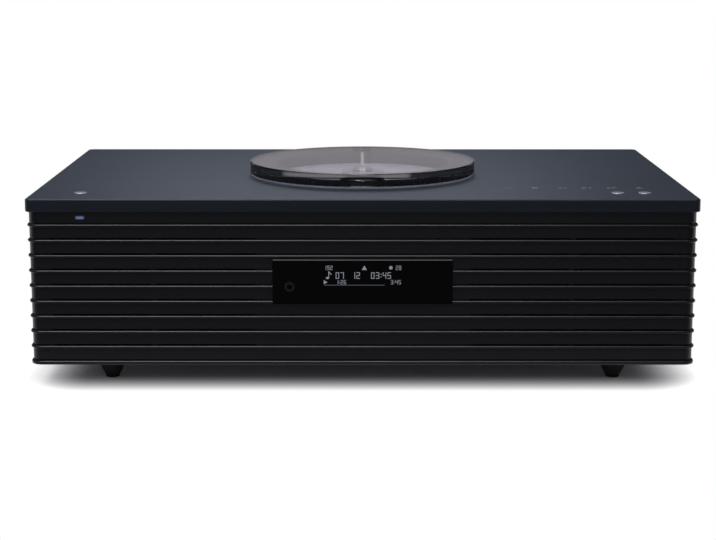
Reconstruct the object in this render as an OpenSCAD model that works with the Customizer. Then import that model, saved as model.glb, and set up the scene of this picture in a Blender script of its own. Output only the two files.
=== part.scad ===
// All-in-one stereo system: a low finned cabinet with a thick top plate, a round clear lid that
// swings aside on a rear pivot to uncover the disc well, a front display, two front speakers on
// each side and a bass speaker that fires down between the feet.
// Millimetres, +Z up, front towards -Y, origin on the table under the middle of the cabinet.

/* [Cabinet] */
// Width of the top plate
cabinet_w = 450; // [420:1:500]
// Depth of the top plate
cabinet_d = 280; // [265:1:320]
// Height of the top plate's upper face above the table
top_height = 133; // [126:0.5:150]
// Height of the cabinet's underside above the table
stand_h = 19.7; // [17:0.1:23]
// How far the top plate stands out past the fin tips
plate_overhang = 0.3; // [0.2:0.1:3]

/* [Top plate] */
// Height of the top plate's edge
plate_t = 8.8; // [8:0.1:11]
// Thickness of the plate's skin inside its skirt
skin_t = 3; // [2.4:0.1:3.4]
// Width of the skirt under the plate's edge
skirt_w = 16; // [14:0.5:20]
// Corner radius of the plate, seen from above
plate_corner_r = 4; // [3:0.5:8]
// Radius of the plate's upper edge
plate_edge_r = 1.2; // [0.6:0.1:2]

/* [Finned shell] */
// Number of fins
fin_count = 10; // [8:1:12]
// Height of a fin's rounded nose
fin_t = 1.9; // [1.4:0.1:2.4]
// How far the lowest fin reaches further down than the others
base_lip = 0.8; // [0.4:0.1:1.2]
// How far the fins stand out from the bands between them
fin_depth = 1.3; // [1:0.1:2.2]
// Height of the shadow groove above each fin
groove_h = 1.2; // [0.8:0.1:1.8]
// Depth of the shadow groove behind the bands
groove_depth = 1.2; // [0.8:0.1:1.6]
// Thickness of the shell behind the grooves
shell_wall = 2.5; // [2:0.1:3]
// Corner radius of the fins, seen from above
body_corner_r = 8; // [7:0.5:12]
// Distance between the last sound slot and the rounded corner
slot_margin = 8; // [4:0.5:16]
// Distance between the cabinet's middle and the first sound slot
slot_start = 72; // [68:1:76]
// Width of the bridge between two sound slots
slot_bridge = 4; // [3:0.5:8]

/* [Lid] */
// Radius of the clear lid
lid_r = 82.5; // [78:0.5:88]
// Thickness of the clear lid
lid_t = 9; // [7:0.5:11]
// Radius of the lid's upper edge
lid_edge_r = 0.5; // [0.4:0.1:2]
// Gap between the top plate and the lid
lid_gap = 1; // [0.8:0.1:1.5]
// Distance of the lid's centre in front of the cabinet's middle
lid_forward = 8; // [0:0.5:12]
// Distance from the lid's centre back to its pivot
pivot_offset = 73; // [70:0.5:74]
// Radius of the pivot post
pivot_r = 4; // [3:0.1:5]
// Wall of the bush in the lid
bush_wall = 2; // [1.5:0.1:2.5]
// Depth of the bush in the lid's underside
bush_depth = 4.6; // [4:0.1:5]
// Radius of the cap over the pivot
cap_r = 7; // [6.6:0.1:7.6]
// Room between a disc and the housing of the pivot
housing_room = 1; // [0.6:0.1:1.6]

/* [Disc well] */
// Radius of the discs that the player takes
disc_r = 60; // [60:1:62]
// Finger room around a disc
disc_room = 3.5; // [2:0.5:5]
// Thickness of the well's floor
well_floor_t = 2.5; // [2:0.1:3]
// Width of the ring that the well's floor is fixed to
well_ring_w = 5; // [4:0.5:7]
// Radius of the platform that carries a disc
platter_r = 15.5; // [14:0.1:16]
// Thickness of that platform
platter_t = 2; // [1.6:0.1:2.2]
// Radius of the boss that centres a disc
spindle_boss_r = 7.4; // [7.2:0.05:7.45]
// Height of the boss above the platform
spindle_boss_h = 2.5; // [2:0.1:2.8]
// Radius of the spindle shaft
spindle_r = 1; // [0.8:0.1:1.5]

/* [Pickup drive] */
// Distance of the pickup's lens from the spindle at its inner stop
lens_start = 23; // [23:0.5:24]
// Travel of the pickup
lens_travel = 35; // [30:1:36]
// Radius of the guide rods
rod_r = 1.5; // [1.2:0.1:2]
// Distance of each guide rod from the spindle's axis
rod_offset = 21; // [20.5:0.1:22]
// Module of the rack and the pinion that drives it
rack_module = 0.8; // [0.7:0.05:0.8]
// Teeth of that pinion
rack_pinion_teeth = 12; // [12:1:14]
// Module of the reduction gear
drive_module = 0.6; // [0.5:0.05:0.6]
// Teeth of the reduction gear
drive_gear_teeth = 40; // [36:1:42]
// Teeth of the motor's pinion
motor_pinion_teeth = 10; // [10:1:12]
// Face width of the gears
gear_t = 3; // [2.5:0.1:3.2]

/* [Display] */
// Width of the display window
window_w = 120.5; // [110:0.5:124]
// Height of the display window
window_h = 30.3; // [28:0.1:31]
// Distance of the window's centre below the plate's upper face
window_drop = 56; // [52:0.5:58]
// How far the window stands out past the fin tips
window_proud = 0.3; // [0.2:0.1:1]
// Distance of the headphone jack from the window's left end
jack_inset = 11.25; // [9:0.25:14]
// Distance of the jack below the window's centre
jack_drop = 3.3; // [2:0.1:4]
// Radius of the jack's collar
jack_collar_r = 3.4; // [3.2:0.1:4]
// Radius of the hole for the headphone plug
jack_bore_r = 1.8; // [1.78:0.01:1.9]
// Half the height of the power lamp
lamp_r = 1.3; // [1:0.1:2]
// Width of the power lamp
lamp_w = 7; // [5:0.5:9]
// Distance of the power lamp inside the cabinet's left side
lamp_side = 36.6; // [30:0.1:44]

/* [Controls] */
// Radius of the push buttons
button_r = 4.5; // [4:0.1:5]
// Height of the buttons above the plate
button_proud = 0.4; // [0.2:0.1:0.7]
// Travel of the buttons
button_travel = 0.6; // [0.4:0.1:0.8]
// Distance of the outer buttons inside the cabinet's sides
button_side = 33.2; // [30:0.1:40]
// Distance between the two volume buttons
button_pitch = 18.2; // [16:0.1:22]
// Distance of the buttons behind the plate's front edge
button_inset = 28.5; // [26:0.5:32]

/* [Speakers] */
// Thickness of the front baffle
baffle_t = 8; // [6:0.5:10]
// Radius of the woofer cones
woofer_cone_r = 30; // [28:0.5:31]
// Distance of the tweeters inside the cabinet's sides
tweeter_side = 37; // [35:0.5:38]
// Radius of the tweeter domes
tweeter_dome_r = 10; // [9:0.5:11]
// Distance of the bass speaker behind the cabinet's middle
sub_back = 25; // [20:1:30]
// Radius of the bass speaker's cone
sub_cone_r = 46; // [42:0.5:48]
// Radius of the bass port
port_r = 15; // [12:0.5:16]

/* [Base and rear] */
// Thickness of the bottom plate
bottom_t = 3; // [2.5:0.1:4]
// Thickness of the rear panel
rear_t = 3; // [2.5:0.1:4]
// Distance of the rear panel's face inside the plate's rear edge
rear_inset = 10; // [9.8:0.1:14]
// Distance of the feet inside the cabinet's sides
foot_inset_x = 49; // [40:1:55]
// Distance of the feet behind the front edge and before the rear edge
foot_inset_y = 48; // [38:1:50]
// Radius of a foot where it meets the cabinet
foot_top_r = 15; // [13:0.5:17]
// Radius of a foot at its pad
foot_low_r = 5.6; // [5:0.1:7]
// Radius of the rubber pads
pad_r = 4.8; // [4:0.1:5]
// Height of the rubber pads
pad_h = 2.5; // [2:0.1:3.5]
// Height of the posts that carry the circuit boards
board_post_h = 6; // [5:0.5:8]
// Thickness of the circuit boards
board_t = 1.6; // [1.2:0.1:2]

/* [Clearances] */
// Clearance around a turning or sliding shaft
run_gap = 0.05; // [0.03:0.01:0.08]
// Clearance between fixed pieces
fit_gap = 0.2; // [0.1:0.05:0.3]

/* [Hidden] */
$fn = 64;
// Overlap that lets a cut pass clean through a face
cut = 1;

// Levels and planes of the cabinet
plate_top = top_height;
plate_bottom = plate_top - plate_t;
skin_bottom = plate_top - skin_t;
body_h = plate_bottom - stand_h;
layer_h = (body_h - base_lip) / fin_count;
tip_x = cabinet_w / 2 - plate_overhang;
tip_y = -cabinet_d / 2 + plate_overhang;
shell_back = cabinet_d / 2 - plate_overhang;
groove_in = fin_depth + groove_depth;
wall_in = groove_in + shell_wall;
inner_x = tip_x - wall_in;
inner_y = tip_y + wall_in;
sweep_r = max(body_corner_r, wall_in + 0.5);
bottom_inset = 1.5;
bottom_low = stand_h + bottom_inset;
bottom_top = bottom_low + bottom_t;
rear_out = cabinet_d / 2 - rear_inset;
rear_in = rear_out - rear_t;
flange_w = 10;
slot_w = (tip_x - sweep_r - slot_margin - slot_start - slot_bridge) / 2;

// Lid, well and disc drive levels, worked down from the plate's upper face
lid_y = -lid_forward;
lid_low = plate_top + lid_gap;
lid_top = lid_low + lid_t;
cap_t = 1.2;
collar_h = lid_gap - 0.3;
pivot_y = lid_y + pivot_offset;
housing_r = pivot_offset - disc_r - housing_room;
well_r = disc_r + disc_room;
well_low = plate_bottom - well_floor_t;
platter_low = plate_bottom + 0.3;
platter_top = platter_low + platter_t;
hub_hole_r = platter_r + 1.5;
lens_top = platter_top - 1;
turret_r = 5;
slot_half = turret_r + 1.5;
gear_low = well_low - 2.2 - gear_t;
rod_z = gear_low - 3.1;
arm_half = rod_r + 1.2;
chassis_top = rod_z - arm_half - 0.5;
chassis_t = 2.5;
chassis_low = chassis_top - chassis_t;
motor_r = 11.5;
motor_h = 11;
sled_half_x = 10;
sled_half_y = 15;
sled_arm_y = rod_offset + arm_half + 0.4;

// Pitch radii and centres of the pickup drive
rack_pinion_r = rack_module * rack_pinion_teeth / 2;
drive_gear_r = drive_module * drive_gear_teeth / 2;
motor_pinion_r = drive_module * motor_pinion_teeth / 2;
rack_pitch = PI * rack_module;
rack_line = sled_arm_y + 3.2;
rack_start = 5;
rack_len = lens_travel + 10;
gear_x = rack_start + lens_travel + 5;
gear_y = -rack_line - rack_pinion_r;
gear_axle_r = 1.2;
motor_angle = 180;
pinion_x = gear_x + (drive_gear_r + motor_pinion_r) * cos(motor_angle);
pinion_y = gear_y + (drive_gear_r + motor_pinion_r) * sin(motor_angle);
pinion_shaft_r = 1;
sled_motor_r = 9;
sled_motor_h = 14;

// Chassis outline around the spindle, and its rubber mounts
chassis_x0 = -24;
chassis_x1 = lens_start + lens_travel + sled_half_x + 12;
chassis_y0 = gear_y - drive_gear_r - 2;
chassis_y1 = sled_arm_y + 10;
damper_r = 4.5;
damper_h = 4;
damper_top = chassis_top + damper_h;
damper_spots = [
  [chassis_x0 + 6, chassis_y0 + 6], [chassis_x1 - 6, chassis_y0 + 6],
  [chassis_x0 + 6, chassis_y1 - 6], [chassis_x1 - 6, chassis_y1 - 6]
];
well_plate_half = well_r + well_ring_w + 2;

// Front pieces
window_z = plate_top - window_drop;
window_y = tip_y - window_proud;
pocket_y = tip_y + groove_in;
jack_x = window_w / 2 - jack_inset;
jack_z = window_z - jack_drop;
jack_y = window_y;
jack_body = 9;
jack_depth = 11;
jack_board_w = 12;
jack_board_t = 1.6;
jack_bore_depth = 14;
module_w = 70;
module_h = 24;
module_t = 9;
module_x = 6;
module_ledge = 3;
lamp_x = cabinet_w / 2 - lamp_side;
lamp_z = plate_bottom - (layer_h - fin_t - groove_h) / 2;
cloth_t = 0.8;
button_x = cabinet_w / 2 - button_side;
button_y = -cabinet_d / 2 + button_inset;
button_flange = 1.1;
button_flange_t = 0.8;
board_skin_gap = 2.4;
panel_board_t = 1.2;
panel_board_top = skin_bottom - board_skin_gap;
touch_x0 = 92;
touch_x1 = cabinet_w / 2 - skirt_w - 3;
touch_y0 = button_y - 8;
touch_y1 = button_y + 34;
switch_board_half_w = 15;
switch_board_half_d = 8;
switch_post_x = 11;

// Speaker sizes that follow from the cones
flange_t = 2.5;
roll_r = 3;
roll_t = 0.6;
lip_w = 3;
paper_t = 0.8;
woofer_throw = 2;
baffle_y = inner_y + cloth_t + flange_t + roll_r + woofer_throw + 0.7;
speaker_z = stand_h + body_h / 2 - 2;
tweeter_flange_r = 20;
tweeter_x = cabinet_w / 2 - tweeter_side;
woofer_x = (window_w / 2 + tweeter_x - tweeter_flange_r) / 2 + 2;
woofer_rim_r = woofer_cone_r + 2 * roll_r;
woofer_flange_r = woofer_rim_r + lip_w + 3;
woofer_hole_r = woofer_rim_r + 1;
woofer_coil_r = 10;
woofer_basket = 26;
woofer_magnet_r = 24;
woofer_magnet_h = 15;
sub_rim_r = sub_cone_r + 2 * roll_r;
sub_flange_r = sub_rim_r + lip_w + 5;
sub_hole_r = sub_rim_r + lip_w + 0.5;
sub_coil_r = 15;
sub_basket = 34;
sub_magnet_r = 34;
sub_magnet_h = 17;
sub_throw = 4;
tweeter_hole_r = 15;
tweeter_depth = 16;
tweeter_z = speaker_z + 8;
port_wall = 2;
port_x = -98;
port_y = baffle_y + woofer_basket + woofer_magnet_h + port_r + port_wall + 7;
port_len = 46;

// Board outlines and the sockets along the rear edge of the main board
board_x0 = 80;
board_x1 = inner_x - flange_w - 2;
board_y0 = 20;
board_y1 = rear_in - 1;
board_z = bottom_top + board_post_h;
board_top = board_z + board_t;
antenna_x = board_x1 - 18;
aux_x = antenna_x - 23;
optical_x = aux_x - 18;
usb_x = optical_x - 22;
lan_x = usb_x - 24;
inlet_x = -board_x1 + 46;
// Parts on the two boards
chip_h = 2;
small_can_r = 5;
small_can_h = 14;
large_can_r = 9;
large_can_h = 30;
sink_w = 44;
sink_d = 34;
sink_h = 26;
sink_base_t = 4;
sink_fin_t = 1.6;
sink_x = 16;
sink_y = 6;
iron_w = 40;
iron_d = 34;
iron_h = 30;
coil_w = 34;
coil_d = 44;
coil_h = 18;
iron_x = 52;
iron_y = 30;
relay_w = 18;
relay_d = 12;
relay_h = 22;
relay_x = 30;
relay_y = 60;
// Sockets
lan_size = [16, 21, 13.5];
usb_size = [14.5, 15, 7.4];
optical_size = [10.5, 13, 11];
aux_size = [10, 14, 10];
aux_collar_r = 4;
aux_bore_depth = 12;
inlet_size = [27, 20, 18];
inlet_z = board_top + inlet_size[2] / 2;
aux_z = board_top + aux_size[2] / 2;
socket_proud = 0.6;
socket_face = rear_out + socket_proud;
antenna_r = 4.75;
antenna_len = 8;
antenna_z = board_top + 6;
foot_spots = [for (sx = [-1, 1], sy = [-1, 1])
  [sx * (cabinet_w / 2 - foot_inset_x), sy * (cabinet_d / 2 - foot_inset_y)]];

// Screws: spots on the rear panel as [x, z], and under the bottom plate as [x, y]
screw_r = 1.5;
screw_head_r = 3;
screw_head_h = 1.8;
screw_bite = 6;
rear_screw_spots = [for (sx = [-1, 1], k = [0:2])
  [sx * (inner_x - flange_w / 2), bottom_top + 12 + k * (plate_bottom - bottom_top - 24) / 2]];
bottom_screw_spots = [for (sx = [-1, 1], sy = [-1, 0, 1])
  [sx * (inner_x - flange_w / 2), sy * (rear_in - 30)]];

// Points of a round fin nose, from its top to its foot, as [distance in from the tip, height];
// the lowest fin is drawn out downwards by its lip
function nose(z, lip) = [for (a = [90:-30:-90])
  [fin_t / 2 * (1 - cos(a)), z + fin_t / 2 * (1 + sin(a)) - (a < 0 ? lip : 0)]];
// Outline of one layer of the shell: a band, the shadow groove under it and the fin below that
function layer(k) = let (low = plate_bottom - (k + 1) * layer_h) concat(
  [[fin_depth, low + layer_h], [fin_depth, low + fin_t + groove_h],
   [groove_in, low + fin_t + groove_h], [groove_in, low + fin_t]],
  nose(low, k == fin_count - 1 ? base_lip : 0));
shell_outline = concat([for (k = [0:fin_count - 1]) each layer(k)],
  [[wall_in, stand_h], [wall_in, plate_bottom]]);

// Outline of the plate's edge, as [distance in from the edge, height]
plate_outline = concat(
  [[plate_corner_r, plate_bottom], [0.5, plate_bottom], [0, plate_bottom + 0.5]],
  [for (a = [0:22.5:90])
    [plate_edge_r * (1 - cos(a)), plate_top - plate_edge_r * (1 - sin(a))]],
  [[plate_corner_r, plate_top]]);

// An edge outline carried along a straight run of the given length, inwards towards +Y
module straight_run(outline, length) {
  rotate([90, 0, 90]) translate([0, 0, -length / 2]) linear_extrude(length) polygon(outline);
}

// The same outline turned through a corner of radius r, from the -Y side round to the -X side
module corner_run(outline, r) {
  rotate([0, 0, 180]) rotate_extrude(angle = 90) polygon([for (p = outline) [r - p[0], p[1]]]);
}

// Gear teeth with involute flanks; a tooth points along +X
function flank(r, base_r, teeth, thin) =
  let (t = acos(min(1, base_r / max(r, base_r))))
  90 / teeth - thin + (tan(20) - 20 * PI / 180) * 180 / PI - (tan(t) * 180 / PI - t);
module gear_outline(module_size, teeth) {
  pitch_r = module_size * teeth / 2;
  base_r = pitch_r * cos(20);
  thin = 0.06 * module_size / pitch_r * 180 / PI;
  root_r = pitch_r - 1.2 * module_size;
  radii = concat([root_r], base_r > root_r + 0.1 * module_size ? [base_r] : [],
    [pitch_r, pitch_r + 0.9 * module_size]);
  polygon([for (k = [0:teeth - 1], s = [-1, 1], i = [0:len(radii) - 1])
    let (r = s < 0 ? radii[i] : radii[len(radii) - 1 - i])
    let (a = k * 360 / teeth + s * flank(r, base_r, teeth, thin)) [r * cos(a), r * sin(a)]]);
}

// Moves a piece made at the disc's axis to its place
module at_disc() {
  translate([0, lid_y, 0]) children();
}

// Turns a speaker made facing +Z to face the front, seated on the baffle
module at_front(x, z) {
  translate([x, baffle_y, z]) rotate([90, 0, 0]) children();
}

// Turns a speaker made facing +Z to face down, with its flange on the bottom plate
module at_base() {
  translate([0, sub_back, bottom_top + flange_t]) rotate([180, 0, 0]) children();
}

module cabinet_shell() {
  run_d = shell_back - tip_y - sweep_r;
  color("#15171c") difference() {
    union() {
      translate([0, tip_y, 0]) straight_run(shell_outline, 2 * (tip_x - sweep_r));
      for (m = [0, 1]) mirror([m, 0, 0]) {
        translate([-tip_x + sweep_r, tip_y + sweep_r, 0]) corner_run(shell_outline, sweep_r);
        translate([-tip_x, tip_y + sweep_r + run_d / 2, 0]) rotate([0, 0, -90])
          straight_run(shell_outline, run_d);
        // flange that the rear panel is screwed to
        translate([-inner_x, rear_in - 8, bottom_top]) cube([flange_w, 8, plate_bottom - bottom_top]);
        // tabs that the bottom plate is screwed to
        for (p = bottom_screw_spots) if (p[0] < 0)
          translate([-inner_x, p[1] - 6, bottom_top]) cube([flange_w, 12, screw_bite + 1]);
      }
    }
    for (m = [0, 1], k = [1:fin_count - 2], j = [0, 1]) mirror([m, 0, 0])
      translate([slot_start + j * (slot_w + slot_bridge), tip_y,
                 plate_bottom - (k + 1) * layer_h + fin_t])
        cube([slot_w, wall_in + cut, groove_h]);
    // seat of the display window, with one opening behind it for the display and the headphone jack
    translate([-window_w / 2 - fit_gap, tip_y - cut, window_z - window_h / 2 - fit_gap])
      cube([window_w + 2 * fit_gap, groove_in + cut, window_h + 2 * fit_gap]);
    translate([-jack_x - jack_board_w / 2 + 1, tip_y, window_z - module_h / 2 + module_ledge])
      cube([jack_x + jack_board_w / 2 - 1 + module_x + module_w / 2 - module_ledge, wall_in + cut,
            module_h - 2 * module_ledge]);
    translate([-lamp_x, tip_y, lamp_z]) rotate([-90, 0, 0]) lamp_bar(lamp_r + run_gap, wall_in + cut);
    for (p = rear_screw_spots) translate([p[0], rear_in + cut, p[1]]) rotate([90, 0, 0])
      cylinder(r = screw_r + run_gap, h = screw_bite + 0.5 + cut);
    for (p = bottom_screw_spots) translate([p[0], p[1], bottom_top - cut])
      cylinder(r = screw_r + run_gap, h = screw_bite + 0.5 + cut);
  }
}

module top_plate() {
  core_w = cabinet_w - 2 * plate_corner_r;
  core_d = cabinet_d - 2 * plate_corner_r;
  pocket_w = cabinet_w - 2 * skirt_w;
  pocket_d = cabinet_d - 2 * skirt_w;
  color("#3c4450") difference() {
    union() {
      translate([-core_w / 2, -core_d / 2, plate_bottom]) cube([core_w, core_d, plate_t]);
      for (m = [0, 1]) mirror([0, m, 0]) {
        translate([0, -cabinet_d / 2, 0]) straight_run(plate_outline, core_w);
        for (n = [0, 1]) mirror([n, 0, 0]) translate([-core_w / 2, -core_d / 2, 0])
          corner_run(plate_outline, plate_corner_r);
      }
      for (m = [0, 1]) mirror([m, 0, 0]) translate([-cabinet_w / 2, 0, 0]) rotate([0, 0, -90])
        straight_run(plate_outline, core_d);
    }
    // pocket under the skin, leaving the ring of the well, the pivot's boss and board posts
    difference() {
      translate([-pocket_w / 2, -pocket_d / 2, plate_bottom - cut])
        cube([pocket_w, pocket_d, plate_t - skin_t + cut]);
      translate([0, lid_y, plate_bottom - 2 * cut]) cylinder(r = well_r + well_ring_w, h = plate_t + cut);
      translate([0, pivot_y, plate_bottom - 2 * cut]) cylinder(r = housing_r + 3, h = plate_t + cut);
      for (p = panel_board_posts()) translate([p[0], p[1], panel_board_top])
        cylinder(r = 2.5, h = board_skin_gap + cut);
    }
    translate([0, lid_y, plate_bottom - cut]) cylinder(r = well_r, h = plate_t + 2 * cut);
    translate([0, pivot_y, plate_bottom - cut]) cylinder(r = housing_r + fit_gap, h = plate_t + 2 * cut);
    for (x = button_xs()) translate([x, button_y, skin_bottom - cut])
      cylinder(r = button_r + fit_gap, h = skin_t + 2 * cut);
  }
}

// Middles of the power, volume down and volume up buttons
function button_xs() = [-button_x, button_x - button_pitch, button_x];
// Posts under the skin that carry the touch board and the power switch's board
function panel_board_posts() = concat(
  [for (x = [touch_x0 + 4, touch_x1 - 4], y = [touch_y0 + 3.5, touch_y1 - 4]) [x, y]],
  [for (s = [-1, 1]) [-button_x + s * switch_post_x, button_y]]);

module bottom_plate() {
  color("#17181b") difference() {
    union() {
      translate([-inner_x + fit_gap, inner_y + fit_gap, bottom_low])
        cube([2 * (inner_x - fit_gap), rear_in - inner_y - fit_gap, bottom_t]);
      for (m = [0, 1], p = board_posts()) mirror([m, 0, 0])
        translate([p[0], p[1], bottom_low]) cylinder(r = 3, h = bottom_t + board_post_h);
    }
    translate([0, sub_back, bottom_low - cut]) cylinder(r = sub_hole_r, h = bottom_t + 2 * cut);
    translate([port_x, port_y, bottom_low - cut]) cylinder(r = port_r, h = bottom_t + 2 * cut);
    for (p = bottom_screw_spots) translate([p[0], p[1], bottom_low - cut])
      cylinder(r = screw_r + fit_gap, h = bottom_t + 2 * cut);
  }
}
// Posts on the bottom plate under one circuit board
function board_posts() = [for (x = [board_x0 + 5, board_x1 - 5], y = [board_y0 + 5, board_y1 - 30]) [x, y]];

module rear_panel() {
  vent_w = 3;
  vent_h = 26;
  vent_pitch = 8;
  vent_count = 14;
  color("#17181b") difference() {
    translate([-inner_x + fit_gap, rear_in, bottom_low])
      cube([2 * (inner_x - fit_gap), rear_t, plate_bottom - bottom_low]);
    socket_cut(lan_x, board_top, lan_size);
    socket_cut(usb_x, board_top, usb_size);
    socket_cut(optical_x, board_top, optical_size);
    translate([aux_x, rear_in - cut, aux_z]) rotate([-90, 0, 0])
      cylinder(r = aux_collar_r + fit_gap, h = rear_t + 2 * cut);
    socket_cut(inlet_x, board_top, inlet_size);
    translate([antenna_x, rear_in - cut, antenna_z]) rotate([-90, 0, 0])
      cylinder(r = antenna_r + fit_gap, h = rear_t + 2 * cut);
    for (m = [0, 1], k = [0:vent_count - 1]) mirror([m, 0, 0])
      translate([70 + k * vent_pitch, rear_in - cut, plate_bottom - 16 - vent_h])
        cube([vent_w, rear_t + 2 * cut, vent_h]);
    for (p = rear_screw_spots) translate([p[0], rear_in - cut, p[1]]) rotate([-90, 0, 0])
      cylinder(r = screw_r + fit_gap, h = rear_t + 2 * cut);
  }
}
// Opening in the rear panel around a socket that stands on a board
module socket_cut(x, z, size) {
  translate([x - size[0] / 2 - fit_gap, rear_in - cut, z - fit_gap])
    cube([size[0] + 2 * fit_gap, rear_t + 2 * cut, size[2] + 2 * fit_gap]);
}

module front_baffle() {
  window_room = 6;
  color("#2a2622") difference() {
    translate([-inner_x + fit_gap, baffle_y, bottom_top])
      cube([2 * (inner_x - fit_gap), baffle_t, plate_bottom - bottom_top]);
    for (m = [0, 1]) mirror([m, 0, 0]) {
      at_front(woofer_x, speaker_z) translate([0, 0, -baffle_t - cut])
        cylinder(r = woofer_hole_r, h = baffle_t + 2 * cut);
      at_front(tweeter_x, tweeter_z) translate([0, 0, -baffle_t - cut])
        cylinder(r = tweeter_hole_r, h = baffle_t + 2 * cut);
    }
    translate([-window_w / 2, baffle_y - cut, window_z - window_h / 2 - window_room])
      cube([window_w, baffle_t + 2 * cut, window_h + 2 * window_room]);
  }
}

module grille_cloth() {
  cloth_x0 = window_w / 2 + 5;
  color("#0b0b0d") for (m = [0, 1]) mirror([m, 0, 0])
    translate([cloth_x0, inner_y, bottom_top])
      cube([slot_start + 2 * slot_w + slot_bridge + 3 - cloth_x0, cloth_t, layer_h * (fin_count - 1) - 4]);
}

module display_window() {
  edge = 0.5;
  depth = pocket_y - window_y;
  color("#050506") difference() {
    // bevelled plate: the front face is smaller than the body by the bevel
    union() {
      translate([-window_w / 2, window_y + edge, window_z - window_h / 2])
        cube([window_w, depth - edge, window_h]);
      translate([0, window_y + edge, window_z]) rotate([90, 0, 0]) window_bevel(edge);
    }
    translate([-jack_x, window_y - cut, jack_z]) rotate([-90, 0, 0])
      cylinder(r = jack_collar_r + run_gap, h = depth + 2 * cut);
  }
}
// A low frustum whose four sides slope in by its height
module window_bevel(edge) {
  intersection() {
    rotate([90, 0, 90]) translate([0, 0, -window_w / 2]) linear_extrude(window_w)
      sloped_side(window_h / 2, edge);
    rotate([90, 0, 0]) translate([0, 0, -window_h / 2]) linear_extrude(window_h)
      sloped_side(window_w / 2, edge);
  }
}

// Outline of a frustum seen from a side
module sloped_side(half, edge) {
  polygon([[-half, 0], [half, 0], [half - edge, edge], [-half + edge, edge]]);
}

module display_module() {
  glass_t = 2;
  glass_in = module_ledge + fit_gap;
  color("#101418") union() {
    translate([module_x - module_w / 2, inner_y, window_z - module_h / 2])
      cube([module_w, module_t, module_h]);
    // glass that stands in the shell's opening, up to the window
    translate([module_x - module_w / 2 + glass_in, pocket_y, window_z - module_h / 2 + glass_in])
      cube([module_w - 2 * glass_in, shell_wall + glass_t, module_h - 2 * glass_in]);
  }
}

module headphone_jack() {
  color("#26282c") translate([-jack_x, jack_y, jack_z]) difference() {
    union() {
      rotate([-90, 0, 0]) cylinder(r = jack_collar_r, h = inner_y - jack_y + 1);
      translate([-jack_body / 2, inner_y - jack_y, -jack_body / 2])
        cube([jack_body, jack_depth, jack_body]);
      // board that holds the jack against the shell, above and below its opening
      translate([-jack_board_w / 2, inner_y - jack_y, jack_drop - module_h / 2])
        cube([jack_board_w, jack_board_t, module_h]);
    }
    translate([0, -cut, 0]) rotate([-90, 0, 0]) cylinder(r = jack_bore_r, h = jack_bore_depth + cut);
  }
}

// Bar with round ends, half as high as given
module lamp_bar(r, h) {
  half = lamp_w / 2 - lamp_r;
  union() {
    for (s = [-1, 1]) translate([s * half, 0, 0]) cylinder(r = r, h = h);
    translate([-half, -r, 0]) cube([2 * half, 2 * r, h]);
  }
}
module power_lamp() {
  color("#4f8dff") translate([-lamp_x, tip_y + fin_depth - 0.2, lamp_z]) rotate([-90, 0, 0]) union() {
    lamp_bar(lamp_r, groove_depth + shell_wall + 2);
    translate([0, 0, groove_depth + shell_wall + 0.2]) lamp_bar(lamp_r + 1.2, 5);
  }
}

// Board with a low switch under each of the given buttons
module panel_board(x0, x1, y0, y1, xs) {
  switch_h = board_skin_gap - button_flange_t - button_travel - 0.3;
  color("#1f4d2c") union() {
    translate([x0, y0, panel_board_top - panel_board_t]) cube([x1 - x0, y1 - y0, panel_board_t]);
    for (x = xs) translate([x, button_y, panel_board_top]) cylinder(r = 2.5, h = switch_h);
  }
}
module touch_board() {
  panel_board(touch_x0, touch_x1, touch_y0, touch_y1, [button_x - button_pitch, button_x]);
}
module power_switch_board() {
  panel_board(-button_x - switch_board_half_w, -button_x + switch_board_half_w,
    button_y - switch_board_half_d, button_y + switch_board_half_d, [-button_x]);
}

module disc_well() {
  ear_r = 5;
  color("#9a9ca6") at_disc() difference() {
    union() {
      translate([0, 0, well_low]) cylinder(r = well_plate_half, h = well_floor_t);
      // ears and posts that the drive hangs from
      for (p = damper_spots) {
        translate([p[0], p[1], damper_top]) cylinder(r = 3.5, h = well_low - damper_top + 1);
        translate([min(0, p[0] - ear_r), p[1] - ear_r, well_low])
          cube([abs(p[0]) + ear_r, 2 * ear_r, well_floor_t]);
      }
    }
    translate([0, 0, well_low - cut]) cylinder(r = hub_hole_r, h = well_floor_t + 2 * cut);
    translate([0, -slot_half, well_low - cut])
      cube([lens_start + lens_travel + turret_r + 1.5, 2 * slot_half, well_floor_t + 2 * cut]);
    // clearance for the pivot post's nut
    translate([0, pivot_offset, well_low - cut]) cylinder(r = pivot_r + 4, h = well_floor_t + 2 * cut);
  }
}

module pivot_post() {
  nut_h = 3;
  color("#b9bcc2") translate([0, pivot_y, 0]) union() {
    translate([0, 0, plate_bottom - nut_h])
      cylinder(r = pivot_r, h = lid_low + bush_depth - 0.4 - plate_bottom + nut_h);
    translate([0, 0, plate_bottom - nut_h]) cylinder(r = pivot_r + 3, h = nut_h);
    // housing that closes the plate around the post and shows in the wall of the disc well
    translate([0, 0, plate_bottom]) cylinder(r = housing_r, h = plate_t);
    translate([0, 0, plate_top]) cylinder(r = pivot_r + bush_wall, h = collar_h);
  }
}

module lid_disc() {
  low_r = 0.8;
  hole_r = pivot_r + run_gap + bush_wall + run_gap;
  color("#c9cbd6", 0.45) difference() {
    at_disc() rotate_extrude() polygon(concat(
      [[0, lid_low], [lid_r - low_r, lid_low], [lid_r, lid_low + low_r]],
      [for (a = [0:22.5:90])
        [lid_r - lid_edge_r * (1 - cos(a)), lid_top - lid_edge_r * (1 - sin(a))]],
      [[0, lid_top]]));
    translate([0, pivot_y, lid_low - cut]) cylinder(r = hole_r, h = bush_depth + cut);
    translate([0, pivot_y, lid_top - cap_t]) cylinder(r = cap_r + run_gap, h = cap_t + cut);
  }
}

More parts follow.
